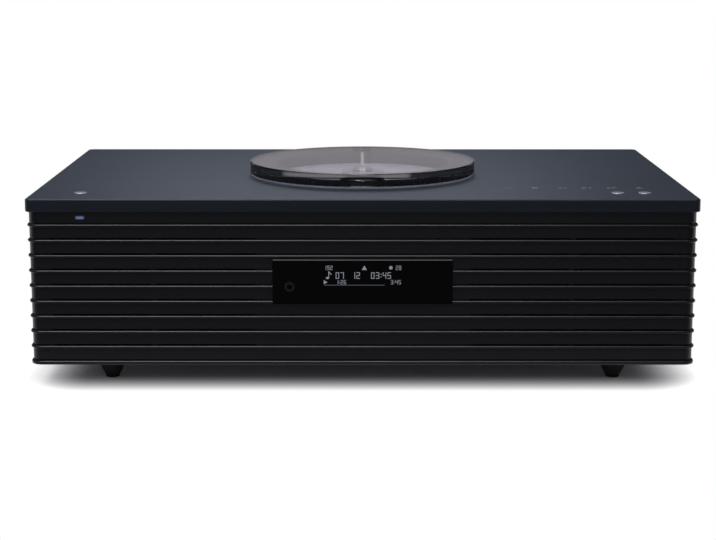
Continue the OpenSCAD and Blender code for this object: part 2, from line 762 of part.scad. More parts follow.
module lid_bush() {
  low = plate_top + collar_h + run_gap;
  color("#a8abb2") translate([0, pivot_y, low]) difference() {
    cylinder(r = pivot_r + run_gap + bush_wall, h = lid_low + bush_depth - low);
    translate([0, 0, -cut]) cylinder(r = pivot_r + run_gap, h = lid_t + 2 * cut);
  }
}

module lid_cap() {
  color("#d5d7dc") translate([0, pivot_y, lid_top - cap_t]) rotate_extrude()
    polygon([[0, 0], [cap_r, 0], [cap_r, cap_t - 0.3], [cap_r - 0.3, cap_t], [0, cap_t]]);
}

shaft_tail = 6;
neck_r = 4;
neck_h = 4;
module turntable_hub() {
  color("#2b2c30") at_disc() difference() {
    rotate_extrude() polygon([
      [0, chassis_low - shaft_tail], [spindle_r, chassis_low - shaft_tail],
      [spindle_r, platter_low - neck_h], [neck_r, platter_low - neck_h], [neck_r, platter_low],
      [platter_r - 0.5, platter_low],
      [platter_r, platter_low + 0.5], [platter_r, platter_top], [spindle_boss_r, platter_top],
      [spindle_boss_r, platter_top + 1.4], [spindle_boss_r - 1.6, platter_top + spindle_boss_h],
      [0, platter_top + spindle_boss_h]]);
    for (a = [0:120:240]) rotate([0, 0, a]) translate([chuck_x(), 0, chuck_z()])
      sphere(r = chuck_ball_r + run_gap);
  }
}
chuck_ball_r = 1.1;
// Place of a chuck ball, just proud of the boss
function chuck_x() = spindle_boss_r - chuck_ball_r + 0.3;
function chuck_z() = platter_top + 1.25;

module chuck_balls() {
  color("#d0d2d6") at_disc() for (a = [0:120:240]) rotate([0, 0, a])
    translate([chuck_x(), 0, chuck_z()]) sphere(r = chuck_ball_r);
}

module spindle_motor() {
  color("#8f9299") at_disc() difference() {
    translate([0, 0, chassis_low - motor_h]) cylinder(r = motor_r, h = motor_h);
    translate([0, 0, chassis_low - 7]) cylinder(r = spindle_r + run_gap, h = 7 + cut);
  }
}

module mech_chassis() {
  window_x0 = lens_start - sled_half_x - 1;
  window_x1 = lens_start + lens_travel + sled_half_x + 1;
  post = 5;
  color("#3a3c42") at_disc() difference() {
    union() {
      translate([chassis_x0, chassis_y0, chassis_low])
        cube([chassis_x1 - chassis_x0, chassis_y1 - chassis_y0, chassis_t]);
      for (s = [-1, 1], x = [window_x0 - post, window_x1])
        translate([x, s * rod_offset - post / 2, chassis_top])
          cube([post, post, rod_z - chassis_top + rod_r + 1]);
      translate([gear_x, gear_y, chassis_top])
        cylinder(r = gear_axle_r + 1.6, h = rod_z - arm_half - chassis_top);
      translate([gear_x, gear_y, chassis_top])
        cylinder(r = gear_axle_r, h = gear_low + gear_t - chassis_top);
    }
    translate([window_x0, -sled_half_y - 2, chassis_low - cut])
      cube([window_x1 - window_x0, 2 * sled_half_y + 4, chassis_t + 2 * cut]);
    for (s = [-1, 1]) translate([window_x0 - post - cut, s * rod_offset, rod_z]) rotate([0, 90, 0])
      cylinder(r = rod_r + run_gap, h = window_x1 - window_x0 + 2 * post + 2 * cut);
    translate([0, 0, chassis_low - cut]) cylinder(r = spindle_r + fit_gap, h = chassis_t + 2 * cut);
    translate([pinion_x, pinion_y, chassis_low - cut])
      cylinder(r = pinion_shaft_r + fit_gap, h = chassis_t + 2 * cut);
  }
}

module mech_dampers() {
  color("#1c1c1e") at_disc() for (p = damper_spots) translate([p[0], p[1], chassis_top]) rotate_extrude()
    polygon([[0, 0], [damper_r, 0], [damper_r - 1, damper_h / 2], [damper_r, damper_h], [0, damper_h]]);
}

module guide_rods() {
  rod_x0 = lens_start - sled_half_x - 5.5;
  rod_x1 = lens_start + lens_travel + sled_half_x + 5.5;
  color("#c7c9ce") at_disc() for (s = [-1, 1]) translate([rod_x0, s * rod_offset, rod_z]) rotate([0, 90, 0])
    cylinder(r = rod_r, h = rod_x1 - rod_x0);
}

module pickup_sled() {
  low = chassis_low - 3;
  top = gear_low + 1;
  color("#24262b") at_disc() difference() {
    union() {
      translate([lens_start - sled_half_x, -sled_half_y, low])
        cube([2 * sled_half_x, 2 * sled_half_y, top - low]);
      translate([lens_start - sled_half_x, -sled_arm_y, rod_z - arm_half])
        cube([2 * sled_half_x, 2 * sled_arm_y, 2 * arm_half]);
      translate([lens_start - sled_half_x, -sled_arm_y - 1, rod_z - arm_half])
        cube([2 * sled_half_x, 2, 2 * arm_half]);
      translate([lens_start, 0, top]) cylinder(r = turret_r, h = lens_top - 0.6 - top);
      translate([0, 0, rod_z - arm_half]) linear_extrude(gear_low - 0.4 - rod_z + arm_half) rack_outline();
    }
    for (s = [-1, 1]) translate([lens_start - sled_half_x - cut, s * rod_offset, rod_z]) rotate([0, 90, 0])
      cylinder(r = rod_r + run_gap, h = 2 * sled_half_x + 2 * cut);
    translate([lens_start, 0, lens_top - 2.1]) cylinder(r = 3.2 + run_gap, h = 3);
  }
}
// Rack along the sled's front arm; a gap between two teeth faces the pinion at rest
module rack_outline() {
  add = 0.9 * rack_module;
  ded = 1.2 * rack_module;
  half = rack_pitch / 4 - 0.06 * rack_module;
  first = ceil((rack_start - gear_x) / rack_pitch + 0.5) - 0.5;
  last = floor((rack_start + rack_len - gear_x) / rack_pitch - 0.5) + 0.5;
  translate([rack_start, -rack_line + ded]) square([rack_len, rack_line - ded - sled_arm_y]);
  for (k = [first:1:last]) translate([gear_x + k * rack_pitch, -rack_line]) polygon([
    [-half - ded * tan(20), ded + 0.01], [-half + add * tan(20), -add],
    [half - add * tan(20), -add], [half + ded * tan(20), ded + 0.01]]);
}

module pickup_lens() {
  color("#8fa8d8", 0.6) at_disc() translate([lens_start, 0, lens_top - 2.1]) rotate_extrude()
    polygon(concat([[0, 0], [3.2, 0], [3.2, 1.5]],
      [for (a = [30:15:90]) [2.6 * cos(a) / cos(30) * 0.98, 1.1 + sin(a)]]));
}

module sled_gear() {
  color("#e6e2d6") at_disc() translate([gear_x, gear_y, 0]) difference() {
    union() {
      translate([0, 0, gear_low]) rotate([0, 0, motor_angle]) linear_extrude(gear_t)
        gear_outline(drive_module, drive_gear_teeth);
      translate([0, 0, rod_z - arm_half + 0.1]) rotate([0, 0, 90])
        linear_extrude(gear_low - rod_z + arm_half) gear_outline(rack_module, rack_pinion_teeth);
    }
    translate([0, 0, chassis_top]) cylinder(r = gear_axle_r + run_gap, h = 40);
  }
}

module motor_pinion() {
  half_tooth = 180 / motor_pinion_teeth;
  color("#e6e2d6") at_disc() translate([pinion_x, pinion_y, 0]) union() {
    translate([0, 0, gear_low]) rotate([0, 0, motor_angle + 180 + half_tooth]) linear_extrude(gear_t)
      gear_outline(drive_module, motor_pinion_teeth);
    translate([0, 0, chassis_low - 6])
      cylinder(r = pinion_shaft_r, h = gear_low + gear_t + 0.3 - chassis_low + 6);
  }
}

module sled_motor() {
  color("#8f9299") at_disc() translate([pinion_x, pinion_y, chassis_low]) difference() {
    translate([0, 0, -sled_motor_h]) cylinder(r = sled_motor_r, h = sled_motor_h);
    translate([0, 0, -7]) cylinder(r = pinion_shaft_r + run_gap, h = 7 + cut);
  }
}

// Push button with a flange under the plate's skin
module push_button(x) {
  flange_top = skin_bottom - fit_gap;
  color("#aeb4bf") translate([x, button_y, 0]) rotate_extrude() polygon([
    [0, flange_top - button_flange_t], [button_r + button_flange, flange_top - button_flange_t],
    [button_r + button_flange, flange_top], [button_r, flange_top],
    [button_r, plate_top + button_proud - 0.3], [button_r - 0.3, plate_top + button_proud],
    [0, plate_top + button_proud]]);
}
module power_button() { push_button(button_xs()[0]); }
module volume_down_button() { push_button(button_xs()[1]); }
module volume_up_button() { push_button(button_xs()[2]); }

// Pressed frame of a cone speaker, facing +Z with its flange's back at zero
module speaker_frame(rim_r, flange_r, hole_r, basket, magnet_r, coil_r) {
  wall = 1.5;
  leg = 16;
  difference() {
    rotate_extrude() polygon([
      [rim_r - 2, 0], [hole_r - 0.5 - wall, 0], [magnet_r - 4, -basket + wall], [coil_r + 4, -basket + wall],
      [coil_r + 4, -basket], [magnet_r - 2, -basket], [hole_r - 0.5, 0], [flange_r, 0],
      [flange_r, flange_t], [rim_r, flange_t], [rim_r - 2, flange_t - 1]]);
    for (a = [0:60:300]) rotate([0, 0, a + 30]) translate([coil_r + 5, -leg / 2, -basket + wall + 2])
      cube([flange_r, leg, basket - wall - 5]);
  }
}
// Magnet of a cone speaker, with the gap that its coil moves in
module speaker_magnet(basket, magnet_r, magnet_h, coil_r) {
  plate = 4;
  translate([0, 0, -basket]) rotate_extrude() polygon([
    [0, -magnet_h], [magnet_r - 1, -magnet_h], [magnet_r - 1, -magnet_h + plate],
    [magnet_r, -magnet_h + plate], [magnet_r, -plate], [magnet_r - 1, -plate], [magnet_r - 1, 0],
    [coil_r + 1, 0],
    [coil_r + 1, -magnet_h + plate], [coil_r - 1, -magnet_h + plate], [coil_r - 1, 0], [0, 0]]);
}
// Cone with its coil former and dust cap
module speaker_cone(cone_r, coil_r, basket, magnet_h, throw) {
  neck = -basket * 0.45;
  coil_end = -basket - magnet_h + 4 + throw + 1;
  cap_r = coil_r + 3;
  cap_z = neck + 3 * (flange_t - neck) / (cone_r - coil_r);
  dome = 4;
  rotate_extrude() polygon(concat(
    [[0, cap_z + dome]], [for (a = [75:-15:15]) [cap_r * cos(a), cap_z + dome * sin(a)]],
    [[cap_r, cap_z], [cone_r - 2, flange_t], [cone_r, flange_t], [cone_r, flange_t - paper_t],
     [cone_r - 2, flange_t - paper_t], [coil_r + 0.4, neck - paper_t], [coil_r + 0.4, coil_end],
     [coil_r - 0.4, coil_end], [coil_r - 0.4, cap_z - paper_t]],
    [for (a = [15:15:75]) [(coil_r - 0.4) * cos(a), cap_z - paper_t + dome * sin(a)]],
    [[0, cap_z + dome - paper_t]]));
}
// Half-roll rubber surround between the cone's edge and the frame
module speaker_surround(cone_r, rim_r) {
  mid = (cone_r + rim_r) / 2;
  rotate_extrude() polygon(concat(
    [[cone_r - 2, flange_t], [cone_r, flange_t]],
    [for (a = [180:-20:0]) [mid + (roll_r - roll_t) * cos(a), flange_t + (roll_r - roll_t) * sin(a)]],
    [[rim_r, flange_t], [rim_r + lip_w, flange_t], [rim_r + lip_w, flange_t + roll_t]],
    [for (a = [0:20:180]) [mid + roll_r * cos(a), flange_t + max(roll_t, roll_r * sin(a))]],
    [[cone_r - 2, flange_t + roll_t]]));
}

module woofer_frames() {
  color("#26272b") for (s = [-1, 1]) at_front(s * woofer_x, speaker_z)
    speaker_frame(woofer_rim_r, woofer_flange_r, woofer_hole_r, woofer_basket, woofer_magnet_r,
                  woofer_coil_r);
}
module woofer_magnets() {
  color("#3b3d42") for (s = [-1, 1]) at_front(s * woofer_x, speaker_z)
    speaker_magnet(woofer_basket, woofer_magnet_r, woofer_magnet_h, woofer_coil_r);
}
module woofer_cone(s) {
  color("#1d1d20") at_front(s * woofer_x, speaker_z)
    speaker_cone(woofer_cone_r, woofer_coil_r, woofer_basket, woofer_magnet_h, woofer_throw);
}
module woofer_surround(s) {
  color("#141416") at_front(s * woofer_x, speaker_z) speaker_surround(woofer_cone_r, woofer_rim_r);
}
module woofer_cone_left() { woofer_cone(-1); }
module woofer_cone_right() { woofer_cone(1); }
module woofer_surround_left() { woofer_surround(-1); }
module woofer_surround_right() { woofer_surround(1); }

module subwoofer_frame() {
  color("#26272b") at_base()
    speaker_frame(sub_rim_r, sub_flange_r, sub_rim_r + 1, sub_basket, sub_magnet_r, sub_coil_r);
}
module subwoofer_magnet() {
  color("#3b3d42") at_base() speaker_magnet(sub_basket, sub_magnet_r, sub_magnet_h, sub_coil_r);
}
module subwoofer_cone() {
  color("#1d1d20") at_base() speaker_cone(sub_cone_r, sub_coil_r, sub_basket, sub_magnet_h, sub_throw);
}
module subwoofer_surround() {
  color("#141416") at_base() speaker_surround(sub_cone_r, sub_rim_r);
}

module tweeter_bodies() {
  seat = 1.5;
  color("#2b2d31") for (s = [-1, 1]) at_front(s * tweeter_x, tweeter_z) difference() {
    rotate_extrude() polygon([
      [0, -tweeter_depth], [tweeter_hole_r - 1, -tweeter_depth], [tweeter_hole_r - 1, 0],
      [tweeter_flange_r, 0], [tweeter_flange_r, 2], [tweeter_dome_r + 3, 2], [tweeter_dome_r + 1, seat],
      [tweeter_dome_r + 1, -3], [tweeter_dome_r + 1, -8], [tweeter_dome_r - 2, -8],
      [tweeter_dome_r - 2, -3], [0, -3]]);
  }
}
module tweeter_dome(s) {
  rise = 3.5;
  edge = tweeter_dome_r + 0.6;
  color("#c4c7cd") at_front(s * tweeter_x, tweeter_z) rotate_extrude() polygon(concat(
    [[0, rise]], [for (a = [75:-15:0]) [tweeter_dome_r * cos(a), rise * sin(a)]],
    [[edge, 0], [edge, -0.5], [tweeter_dome_r, -0.5], [tweeter_dome_r, -6], [tweeter_dome_r - 0.5, -6],
     [tweeter_dome_r - 0.5, -0.3]],
    [for (a = [15:15:75]) [(tweeter_dome_r - 0.5) * cos(a), (rise - 0.4) * sin(a)]], [[0, rise - 0.4]]));
}
module tweeter_dome_left() { tweeter_dome(-1); }
module tweeter_dome_right() { tweeter_dome(1); }

module tweeter_lenses() {
  ring_in = tweeter_dome_r + 2;
  ring_out = tweeter_dome_r + 6;
  low = 2;
  color("#1a1b1e") for (s = [-1, 1]) at_front(s * tweeter_x, tweeter_z) union() {
    rotate_extrude() polygon([
      [ring_in + 1.2, low], [ring_out, low], [ring_out - 1, low + 2.8], [ring_in, low + 2.8]]);
    // bullet in the middle of the lens, held by three arms
    translate([0, 0, low + 2.2]) rotate_extrude() polygon([[0, 0], [3.5, 0], [2.8, 0.9], [0, 1.2]]);
    for (a = [90:120:330]) rotate([0, 0, a]) translate([0, -0.7, low + 2.2]) cube([ring_in + 1.5, 1.4, 0.6]);
  }
}

module bass_port() {
  flare = 3;
  color("#202124") translate([port_x, port_y, bottom_top]) rotate_extrude() polygon([
    [port_r, 0], [port_r + port_wall + 4, 0], [port_r + port_wall + 4, 2], [port_r + port_wall, 2],
    [port_r + port_wall, port_len - flare], [port_r + port_wall + flare, port_len],
    [port_r + flare, port_len], [port_r, port_len - flare]]);
}

// Circuit board with a few low parts on it, standing on the bottom plate's posts
module board_plate(side) {
  x0 = side > 0 ? board_x0 : -board_x1;
  translate([x0, board_y0, board_z]) cube([board_x1 - board_x0, board_y1 - board_y0, board_t]);
}
module main_board() {
  color("#1f4d2c") union() {
    board_plate(1);
    for (p = [[70, 15, 20], [100, 20, 14], [70, 45, 12]])
      translate([board_x0 + p[0], board_y0 + p[1], board_top]) cube([p[2], p[2], chip_h]);
    for (k = [0:2])
      translate([board_x0 + 2 * small_can_r, board_y0 + (9 + 2.8 * k) * small_can_r, board_top])
        cylinder(r = small_can_r, h = small_can_h);
  }
}
module heat_sink() {
  fins = 9;
  color("#55585e") translate([board_x0 + sink_x, board_y0 + sink_y, board_top]) union() {
    cube([sink_w, sink_d, sink_base_t]);
    for (k = [0:fins - 1]) translate([k * (sink_w - sink_fin_t) / (fins - 1), 0, 0])
      cube([sink_fin_t, sink_d, sink_h]);
  }
}
module power_board() {
  color("#3d2f1c") union() {
    board_plate(-1);
    for (k = [0:1])
      translate([-board_x1 + 2.2 * large_can_r, board_y0 + (2.2 + 2.4 * k) * large_can_r, board_top])
        cylinder(r = large_can_r, h = large_can_h);
    translate([-board_x0 - relay_x, board_y0 + relay_y, board_top]) cube([relay_w, relay_d, relay_h]);
  }
}
module transformer() {
  color("#c8a14a") translate([-board_x0 - iron_x, board_y0 + iron_y, board_top]) union() {
    translate([-iron_w / 2, -iron_d / 2, 0]) cube([iron_w, iron_d, iron_h]);
    translate([-coil_w / 2, -coil_d / 2, (iron_h - coil_h) / 2]) cube([coil_w, coil_d, coil_h]);
  }
}

// Block of a socket, from the rear face inwards, standing on its board
module socket_block(x, size) {
  translate([x - size[0] / 2, socket_face - size[1], board_top]) cube(size);
}
module ac_inlet() {
  depth = 13;
  lobe = 4.4;
  pins = 8.6;
  color("#131416") union() {
    difference() {
      socket_block(inlet_x, inlet_size);
      translate([inlet_x, socket_face - depth, inlet_z]) rotate([-90, 0, 0])
        linear_extrude(depth + cut) union() {
          for (s = [-1, 1]) translate([s * pins / 2, 0]) circle(lobe);
          square([pins, 2 * lobe - 1.2], center = true);
        }
    }
    for (s = [-1, 1]) translate([inlet_x + s * pins / 2, socket_face - depth, inlet_z]) rotate([-90, 0, 0])
      cylinder(r = 1.2, h = 9);
  }
}
module lan_socket() {
  color("#a9acb1") difference() {
    socket_block(lan_x, lan_size);
    translate([lan_x - 5.9, socket_face - 14, board_top + 3.4]) cube([11.8, 14 + cut, 8.2]);
    translate([lan_x - 3, socket_face - 14, board_top + 1.6]) cube([6, 14 + cut, 4]);
  }
}
module usb_socket() {
  color("#b4b7bc") union() {
    difference() {
      socket_block(usb_x, usb_size);
      translate([usb_x - 6.25, socket_face - 12, board_top + 1.1]) cube([12.5, 12 + cut, 5.2]);
    }
    translate([usb_x - 5.55, socket_face - 12, board_top + 4]) cube([11.1, 10.5, 1.8]);
  }
}
module optical_socket() {
  color("#1b1c1f") difference() {
    socket_block(optical_x, optical_size);
    translate([optical_x - 3.8, socket_face - 6, board_top + 1.7]) cube([7.6, 6 + cut, 7.6]);
    translate([optical_x, socket_face - 9, board_top + 5.5]) rotate([-90, 0, 0]) cylinder(r = 1.3, h = 9);
  }
}
module aux_jack() {
  color("#26282c") difference() {
    union() {
      translate([aux_x - aux_size[0] / 2, rear_in - aux_size[1], board_top]) cube(aux_size);
      translate([aux_x, rear_in - 1, aux_z]) rotate([-90, 0, 0])
        cylinder(r = aux_collar_r, h = socket_face - rear_in + 1);
    }
    translate([aux_x, socket_face - aux_bore_depth, aux_z]) rotate([-90, 0, 0])
      cylinder(r = jack_bore_r, h = aux_bore_depth + cut);
  }
}
module antenna_terminal() {
  nut = 2;
  color("#b9bcc2") translate([antenna_x, 0, antenna_z]) difference() {
    union() {
      translate([0, rear_in - 12, 0]) rotate([-90, 0, 0])
        cylinder(r = antenna_r, h = rear_out - rear_in + 12 + nut);
      translate([0, rear_out, 0]) rotate([-90, 0, 0]) cylinder(r = 6.4, h = nut, $fn = 6);
      translate([0, rear_out + nut, 0]) rotate([-90, 0, 0]) cylinder(r = antenna_r, h = antenna_len);
      translate([-5.5, rear_in - 14, -6]) cube([11, 12, 11]);
    }
    translate([0, rear_in, 0]) rotate([-90, 0, 0]) cylinder(r = 0.9, h = 40);
  }
}

module feet() {
  color("#101114") for (p = foot_spots) translate([p[0], p[1], pad_h])
    cylinder(r1 = foot_low_r, r2 = foot_top_r, h = bottom_low - pad_h);
}
module foot_pads() {
  color("#0c0c0d") for (p = foot_spots) translate([p[0], p[1], 0]) rotate_extrude()
    polygon([[0, 0], [pad_r - 0.5, 0], [pad_r, 0.5], [pad_r, pad_h], [0, pad_h]]);
}

// Pan-head screw with its head's underside at zero, pointing down
module screw(grip) {
  union() {
    translate([0, 0, -grip - screw_bite]) cylinder(r = screw_r, h = grip + screw_bite + 0.5);
    difference() {
      cylinder(r = screw_head_r, h = screw_head_h);
      translate([-2, -0.4, screw_head_h - 0.8]) cube([4, 0.8, 1]);
      translate([-0.4, -2, screw_head_h - 0.8]) cube([0.8, 4, 1]);
    }
  }
}
module case_screws() {
  color("#2d2e31") union() {
    for (p = rear_screw_spots) translate([p[0], rear_out, p[1]]) rotate([-90, 0, 0]) screw(rear_t);
    for (p = bottom_screw_spots) translate([p[0], p[1], bottom_low]) rotate([180, 0, 0]) screw(bottom_t);
  }
}

cabinet_shell();
top_plate();
bottom_plate();
rear_panel();
front_baffle();
grille_cloth();
display_window();
display_module();
headphone_jack();
power_lamp();
touch_board();
power_switch_board();
disc_well();
pivot_post();
mech_chassis();
mech_dampers();
spindle_motor();
guide_rods();
sled_motor();
woofer_frames();
woofer_magnets();
woofer_surround_left();
woofer_surround_right();
tweeter_bodies();
tweeter_lenses();
subwoofer_frame();
subwoofer_magnet();
subwoofer_surround();
bass_port();
main_board();
heat_sink();
power_board();
transformer();
ac_inlet();
lan_socket();
usb_socket();
optical_socket();
aux_jack();
antenna_terminal();
feet();
foot_pads();
case_screws();
lid_disc();
lid_bush();
lid_cap();
turntable_hub();
chuck_balls();
pickup_sled();
pickup_lens();
sled_gear();
motor_pinion();
power_button();
volume_down_button();
volume_up_button();
woofer_cone_left();
woofer_cone_right();
subwoofer_cone();
tweeter_dome_left();
tweeter_dome_right();
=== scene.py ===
"""Looks of the all-in-one stereo system: a finish for every CAD piece, the lit figures of the display,
the printed signs on the top plate and the buttons, and a white studio with the photo's camera.
Metres, +Z up, the display faces -Y."""

import math

import bmesh
import bpy
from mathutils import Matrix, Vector


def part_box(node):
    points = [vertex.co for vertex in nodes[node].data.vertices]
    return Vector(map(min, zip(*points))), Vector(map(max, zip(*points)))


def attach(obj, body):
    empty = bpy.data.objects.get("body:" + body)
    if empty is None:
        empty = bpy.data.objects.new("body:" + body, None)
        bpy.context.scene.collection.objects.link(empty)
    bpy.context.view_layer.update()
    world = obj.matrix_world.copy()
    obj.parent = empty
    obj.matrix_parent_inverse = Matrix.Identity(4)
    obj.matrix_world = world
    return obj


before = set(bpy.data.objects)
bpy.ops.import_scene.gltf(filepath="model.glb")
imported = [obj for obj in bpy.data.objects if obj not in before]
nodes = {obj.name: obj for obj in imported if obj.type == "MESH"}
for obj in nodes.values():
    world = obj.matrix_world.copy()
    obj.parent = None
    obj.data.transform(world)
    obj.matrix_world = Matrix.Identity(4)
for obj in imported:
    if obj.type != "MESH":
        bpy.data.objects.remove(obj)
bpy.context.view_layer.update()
scene = bpy.context.scene

# Sockets of a Mix node in its colour mode
MIX_SHARE = 0
MIX_FIRST = 6
MIX_SECOND = 7
MIX_RESULT = 2

# Scale that drops a place to the floor
FLAT = (1.0, 1.0, 0.0)


# Colours
def opaque(given):
    """A colour of three numbers gets its alpha; anything else stays as it is."""
    return (*given, 1) if isinstance(given, tuple) and len(given) == 3 else given


def shade(r, g, b):
    """Linear colour of an sRGB one given from 0 to 255."""
    return tuple(c / 12.92 if c <= 0.04045 else ((c + 0.055) / 1.055) ** 2.4
                 for c in (r / 255, g / 255, b / 255))


def toned(colour, factor):
    """A colour times a factor."""
    return tuple(min(1.0, c * factor) for c in colour)


# Shader tools
class Value:
    """A socket of a finish; arithmetic on it adds Math nodes."""

    def __init__(self, finish, socket):
        self.finish = finish
        self.socket = socket

    def math(self, operation, first, second=None):
        """The result of a Math node on one or two values."""
        return self.finish.node("ShaderNodeMath", {"operation": operation}, {0: first, 1: second})

    def __add__(self, other):
        return self.math("ADD", self, other)

    def __radd__(self, other):
        return self.math("ADD", other, self)

    def __sub__(self, other):
        return self.math("SUBTRACT", self, other)

    def __rsub__(self, other):
        return self.math("SUBTRACT", other, self)

    def __mul__(self, other):
        return self.math("MULTIPLY", self, other)

    def __rmul__(self, other):
        return self.math("MULTIPLY", other, self)

    def __truediv__(self, other):
        return self.math("DIVIDE", self, other)

    def __rtruediv__(self, other):
        return self.math("DIVIDE", other, self)

    def __pow__(self, other):
        return self.math("POWER", self, other)

    def __rpow__(self, other):
        return self.math("POWER", other, self)

    def __abs__(self):
        return self.math("ABSOLUTE", self)


class Finish:
    """A material or world with its node tree."""

    def __init__(self, name, owner=None):
        self.owner = owner or bpy.data.materials.new(name)
        self.owner.use_nodes = True
        self.tree = self.owner.node_tree
        self.tree.nodes.clear()

    def node(self, kind, settings=None, inputs=None, output=0):
        """Adds a node: its settings first, then the values or links of its sockets."""
        made = self.tree.nodes.new(kind)
        for key, setting in (settings or {}).items():
            setattr(made, key, setting)
        for key, given in (inputs or {}).items():
            if isinstance(given, Value):
                self.tree.links.new(given.socket, made.inputs[key])
            elif given is not None:
                made.inputs[key].default_value = given
        return Value(self, made.outputs[output]) if made.outputs else None

    def place(self, space="Object"):
        """Where a point is on the part, in metres; Generated gives a direction in the room."""
        return self.node("ShaderNodeTexCoord", output=space)

    def axis(self, name, space="Object"):
        """One coordinate of the place."""
        return self.node("ShaderNodeSeparateXYZ", None, {"Vector": self.place(space)}, output=name)

    def stretched(self, scale):
        """The place times one number per axis."""
        return self.node("ShaderNodeMapping", None, {"Vector": self.place(), "Scale": scale})

    def vector_math(self, operation, first, second=None, output=0):
        """The result of a Vector Math node on one or two vectors."""
        return self.node("ShaderNodeVectorMath", {"operation": operation}, {0: first, 1: second}, output)

    def length(self, vector):
        """How long a vector is."""
        return self.vector_math("LENGTH", vector, output="Value")

    def from_upright(self, x, y):
        """Distance from the upright line through x, y."""
        return self.length(self.vector_math("SUBTRACT", self.stretched(FLAT), (x, y, 0.0)))

    def noise(self, scale, detail=2.0, rough=0.5):
        """Noise from 0 to 1; scale is one number, or one per axis, in cycles per metre."""
        if not hasattr(scale, "__len__"):
            scale = (scale, scale, scale)
        return self.node("ShaderNodeTexNoise", None, {
            "Vector": self.stretched(scale), "Scale": 1.0, "Detail": detail, "Roughness": rough})

    def above(self, value, low, high):
        """0 below low, 1 above high, smooth between."""
        return self.node("ShaderNodeMapRange", {"interpolation_type": "SMOOTHSTEP"},
                         {"Value": value, "From Min": low, "From Max": high})

    def below(self, value, low, high):
        """1 below low, 0 above high, smooth between."""
        return 1 - self.above(value, low, high)

    def mix(self, share, first, second):
        """A colour from first to second."""
        return self.node("ShaderNodeMix", {"data_type": "RGBA"},
                         {MIX_SHARE: share, MIX_FIRST: opaque(first), MIX_SECOND: opaque(second)},
                         MIX_RESULT)

    def blend(self, share, first, second):
        """A shader from first to second."""
        return self.node("ShaderNodeMixShader", None, {0: share, 1: first, 2: second})

    def bump(self, height, strength, depth):
        """Raises the surface by height times depth, in metres, as far as strength says."""
        return self.node("ShaderNodeBump", None,
                         {"Height": height, "Strength": strength, "Distance": depth})

    def ray(self, kind):
        """1 on rays of this kind, 0 on others."""
        return self.node("ShaderNodeLightPath", output=f"Is {kind} Ray")

    def mirrored(self):
        """Above 0 on rays that come by way of a glossy or clear piece."""
        return self.ray("Glossy") + self.ray("Transmission")

    def shader(self, **inputs):
        """A Principled shader; names use _ for spaces."""
        return self.node("ShaderNodeBsdfPrincipled", None,
                         {key.replace("_", " "): opaque(given) for key, given in inputs.items()})

    def surface(self, **inputs):
        """Ends the finish in a Principled shader."""
        return self.end(self.shader(**inputs))

    def end(self, shader):
        """Makes the shader the surface of the material or world."""
        world = isinstance(self.owner, bpy.types.World)
        kind = "ShaderNodeOutputWorld" if world else "ShaderNodeOutputMaterial"
        self.node(kind, None, {"Surface": shader})
        return self.owner


def top_centre(node):
    """Middle of a CAD piece's top: x, y and height."""
    low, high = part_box(node)
    return (low.x + high.x) / 2, (low.y + high.y) / 2, high.z


# Finishes
def moulded_finish(name, colour, roughness, grain=2500, depth=0.00003, gloss=0.5, spread=0.3):
    """Moulded plastic or paint with a fine grain and faint cloudy shifts."""
    f = Finish(name)
    cloud = f.noise(30, detail=3)
    fine = f.noise(grain, detail=2)
    return f.surface(
        Base_Color=f.mix(cloud, toned(colour, 1 - spread), toned(colour, 1 + spread)),
        Roughness=roughness - 0.06 + 0.12 * f.noise(45, detail=4),
        Specular_IOR_Level=gloss,
        Normal=f.bump(fine, strength=0.35, depth=depth))


def metal_finish(name, colour, roughness, lines=(400, 400, 12), depth=0.00002):
    """Bare metal with drawn or turned lines."""
    f = Finish(name)
    line = f.noise(lines, detail=3)
    return f.surface(
        Base_Color=f.mix(line, toned(colour, 0.82), toned(colour, 1.12)),
        Metallic=1.0,
        Roughness=roughness - 0.08 + 0.16 * line,
        Normal=f.bump(line, strength=0.2, depth=depth))


def fin_finish():
    """Satin blue-black of the finned shell, with faint clouds and a fine grain."""
    f = Finish("shell_fins")
    cloud = f.noise((6, 6, 20), detail=3)
    fine = f.noise(3200, detail=2)
    return f.surface(
        Base_Color=f.mix(cloud, shade(15, 16, 22), shade(20, 21, 29)),
        Roughness=0.30 + 0.12 * f.noise(60, detail=4),
        Specular_IOR_Level=0.5,
        Normal=f.bump(fine, strength=0.2, depth=0.00002))


def plate_finish():
    """Dark anodised aluminium, brushed from side to side."""
    pale = shade(66, 72, 83)
    f = Finish("top_plate_brushed")
    hair = f.noise((14, 2600, 2600), detail=3, rough=0.6)
    band = f.noise((3, 160, 160), detail=3, rough=0.6)
    streak = 0.6 * hair + 0.4 * band
    colour = f.mix(f.above(streak, 0.3, 0.7), shade(58, 64, 74), pale)
    return f.surface(
        Base_Color=f.mix(f.above(band, 0.35, 0.65), colour, pale),
        Metallic=0.92,
        Roughness=0.44 + 0.14 * streak,
        Normal=f.bump(hair, strength=0.12, depth=0.00002))


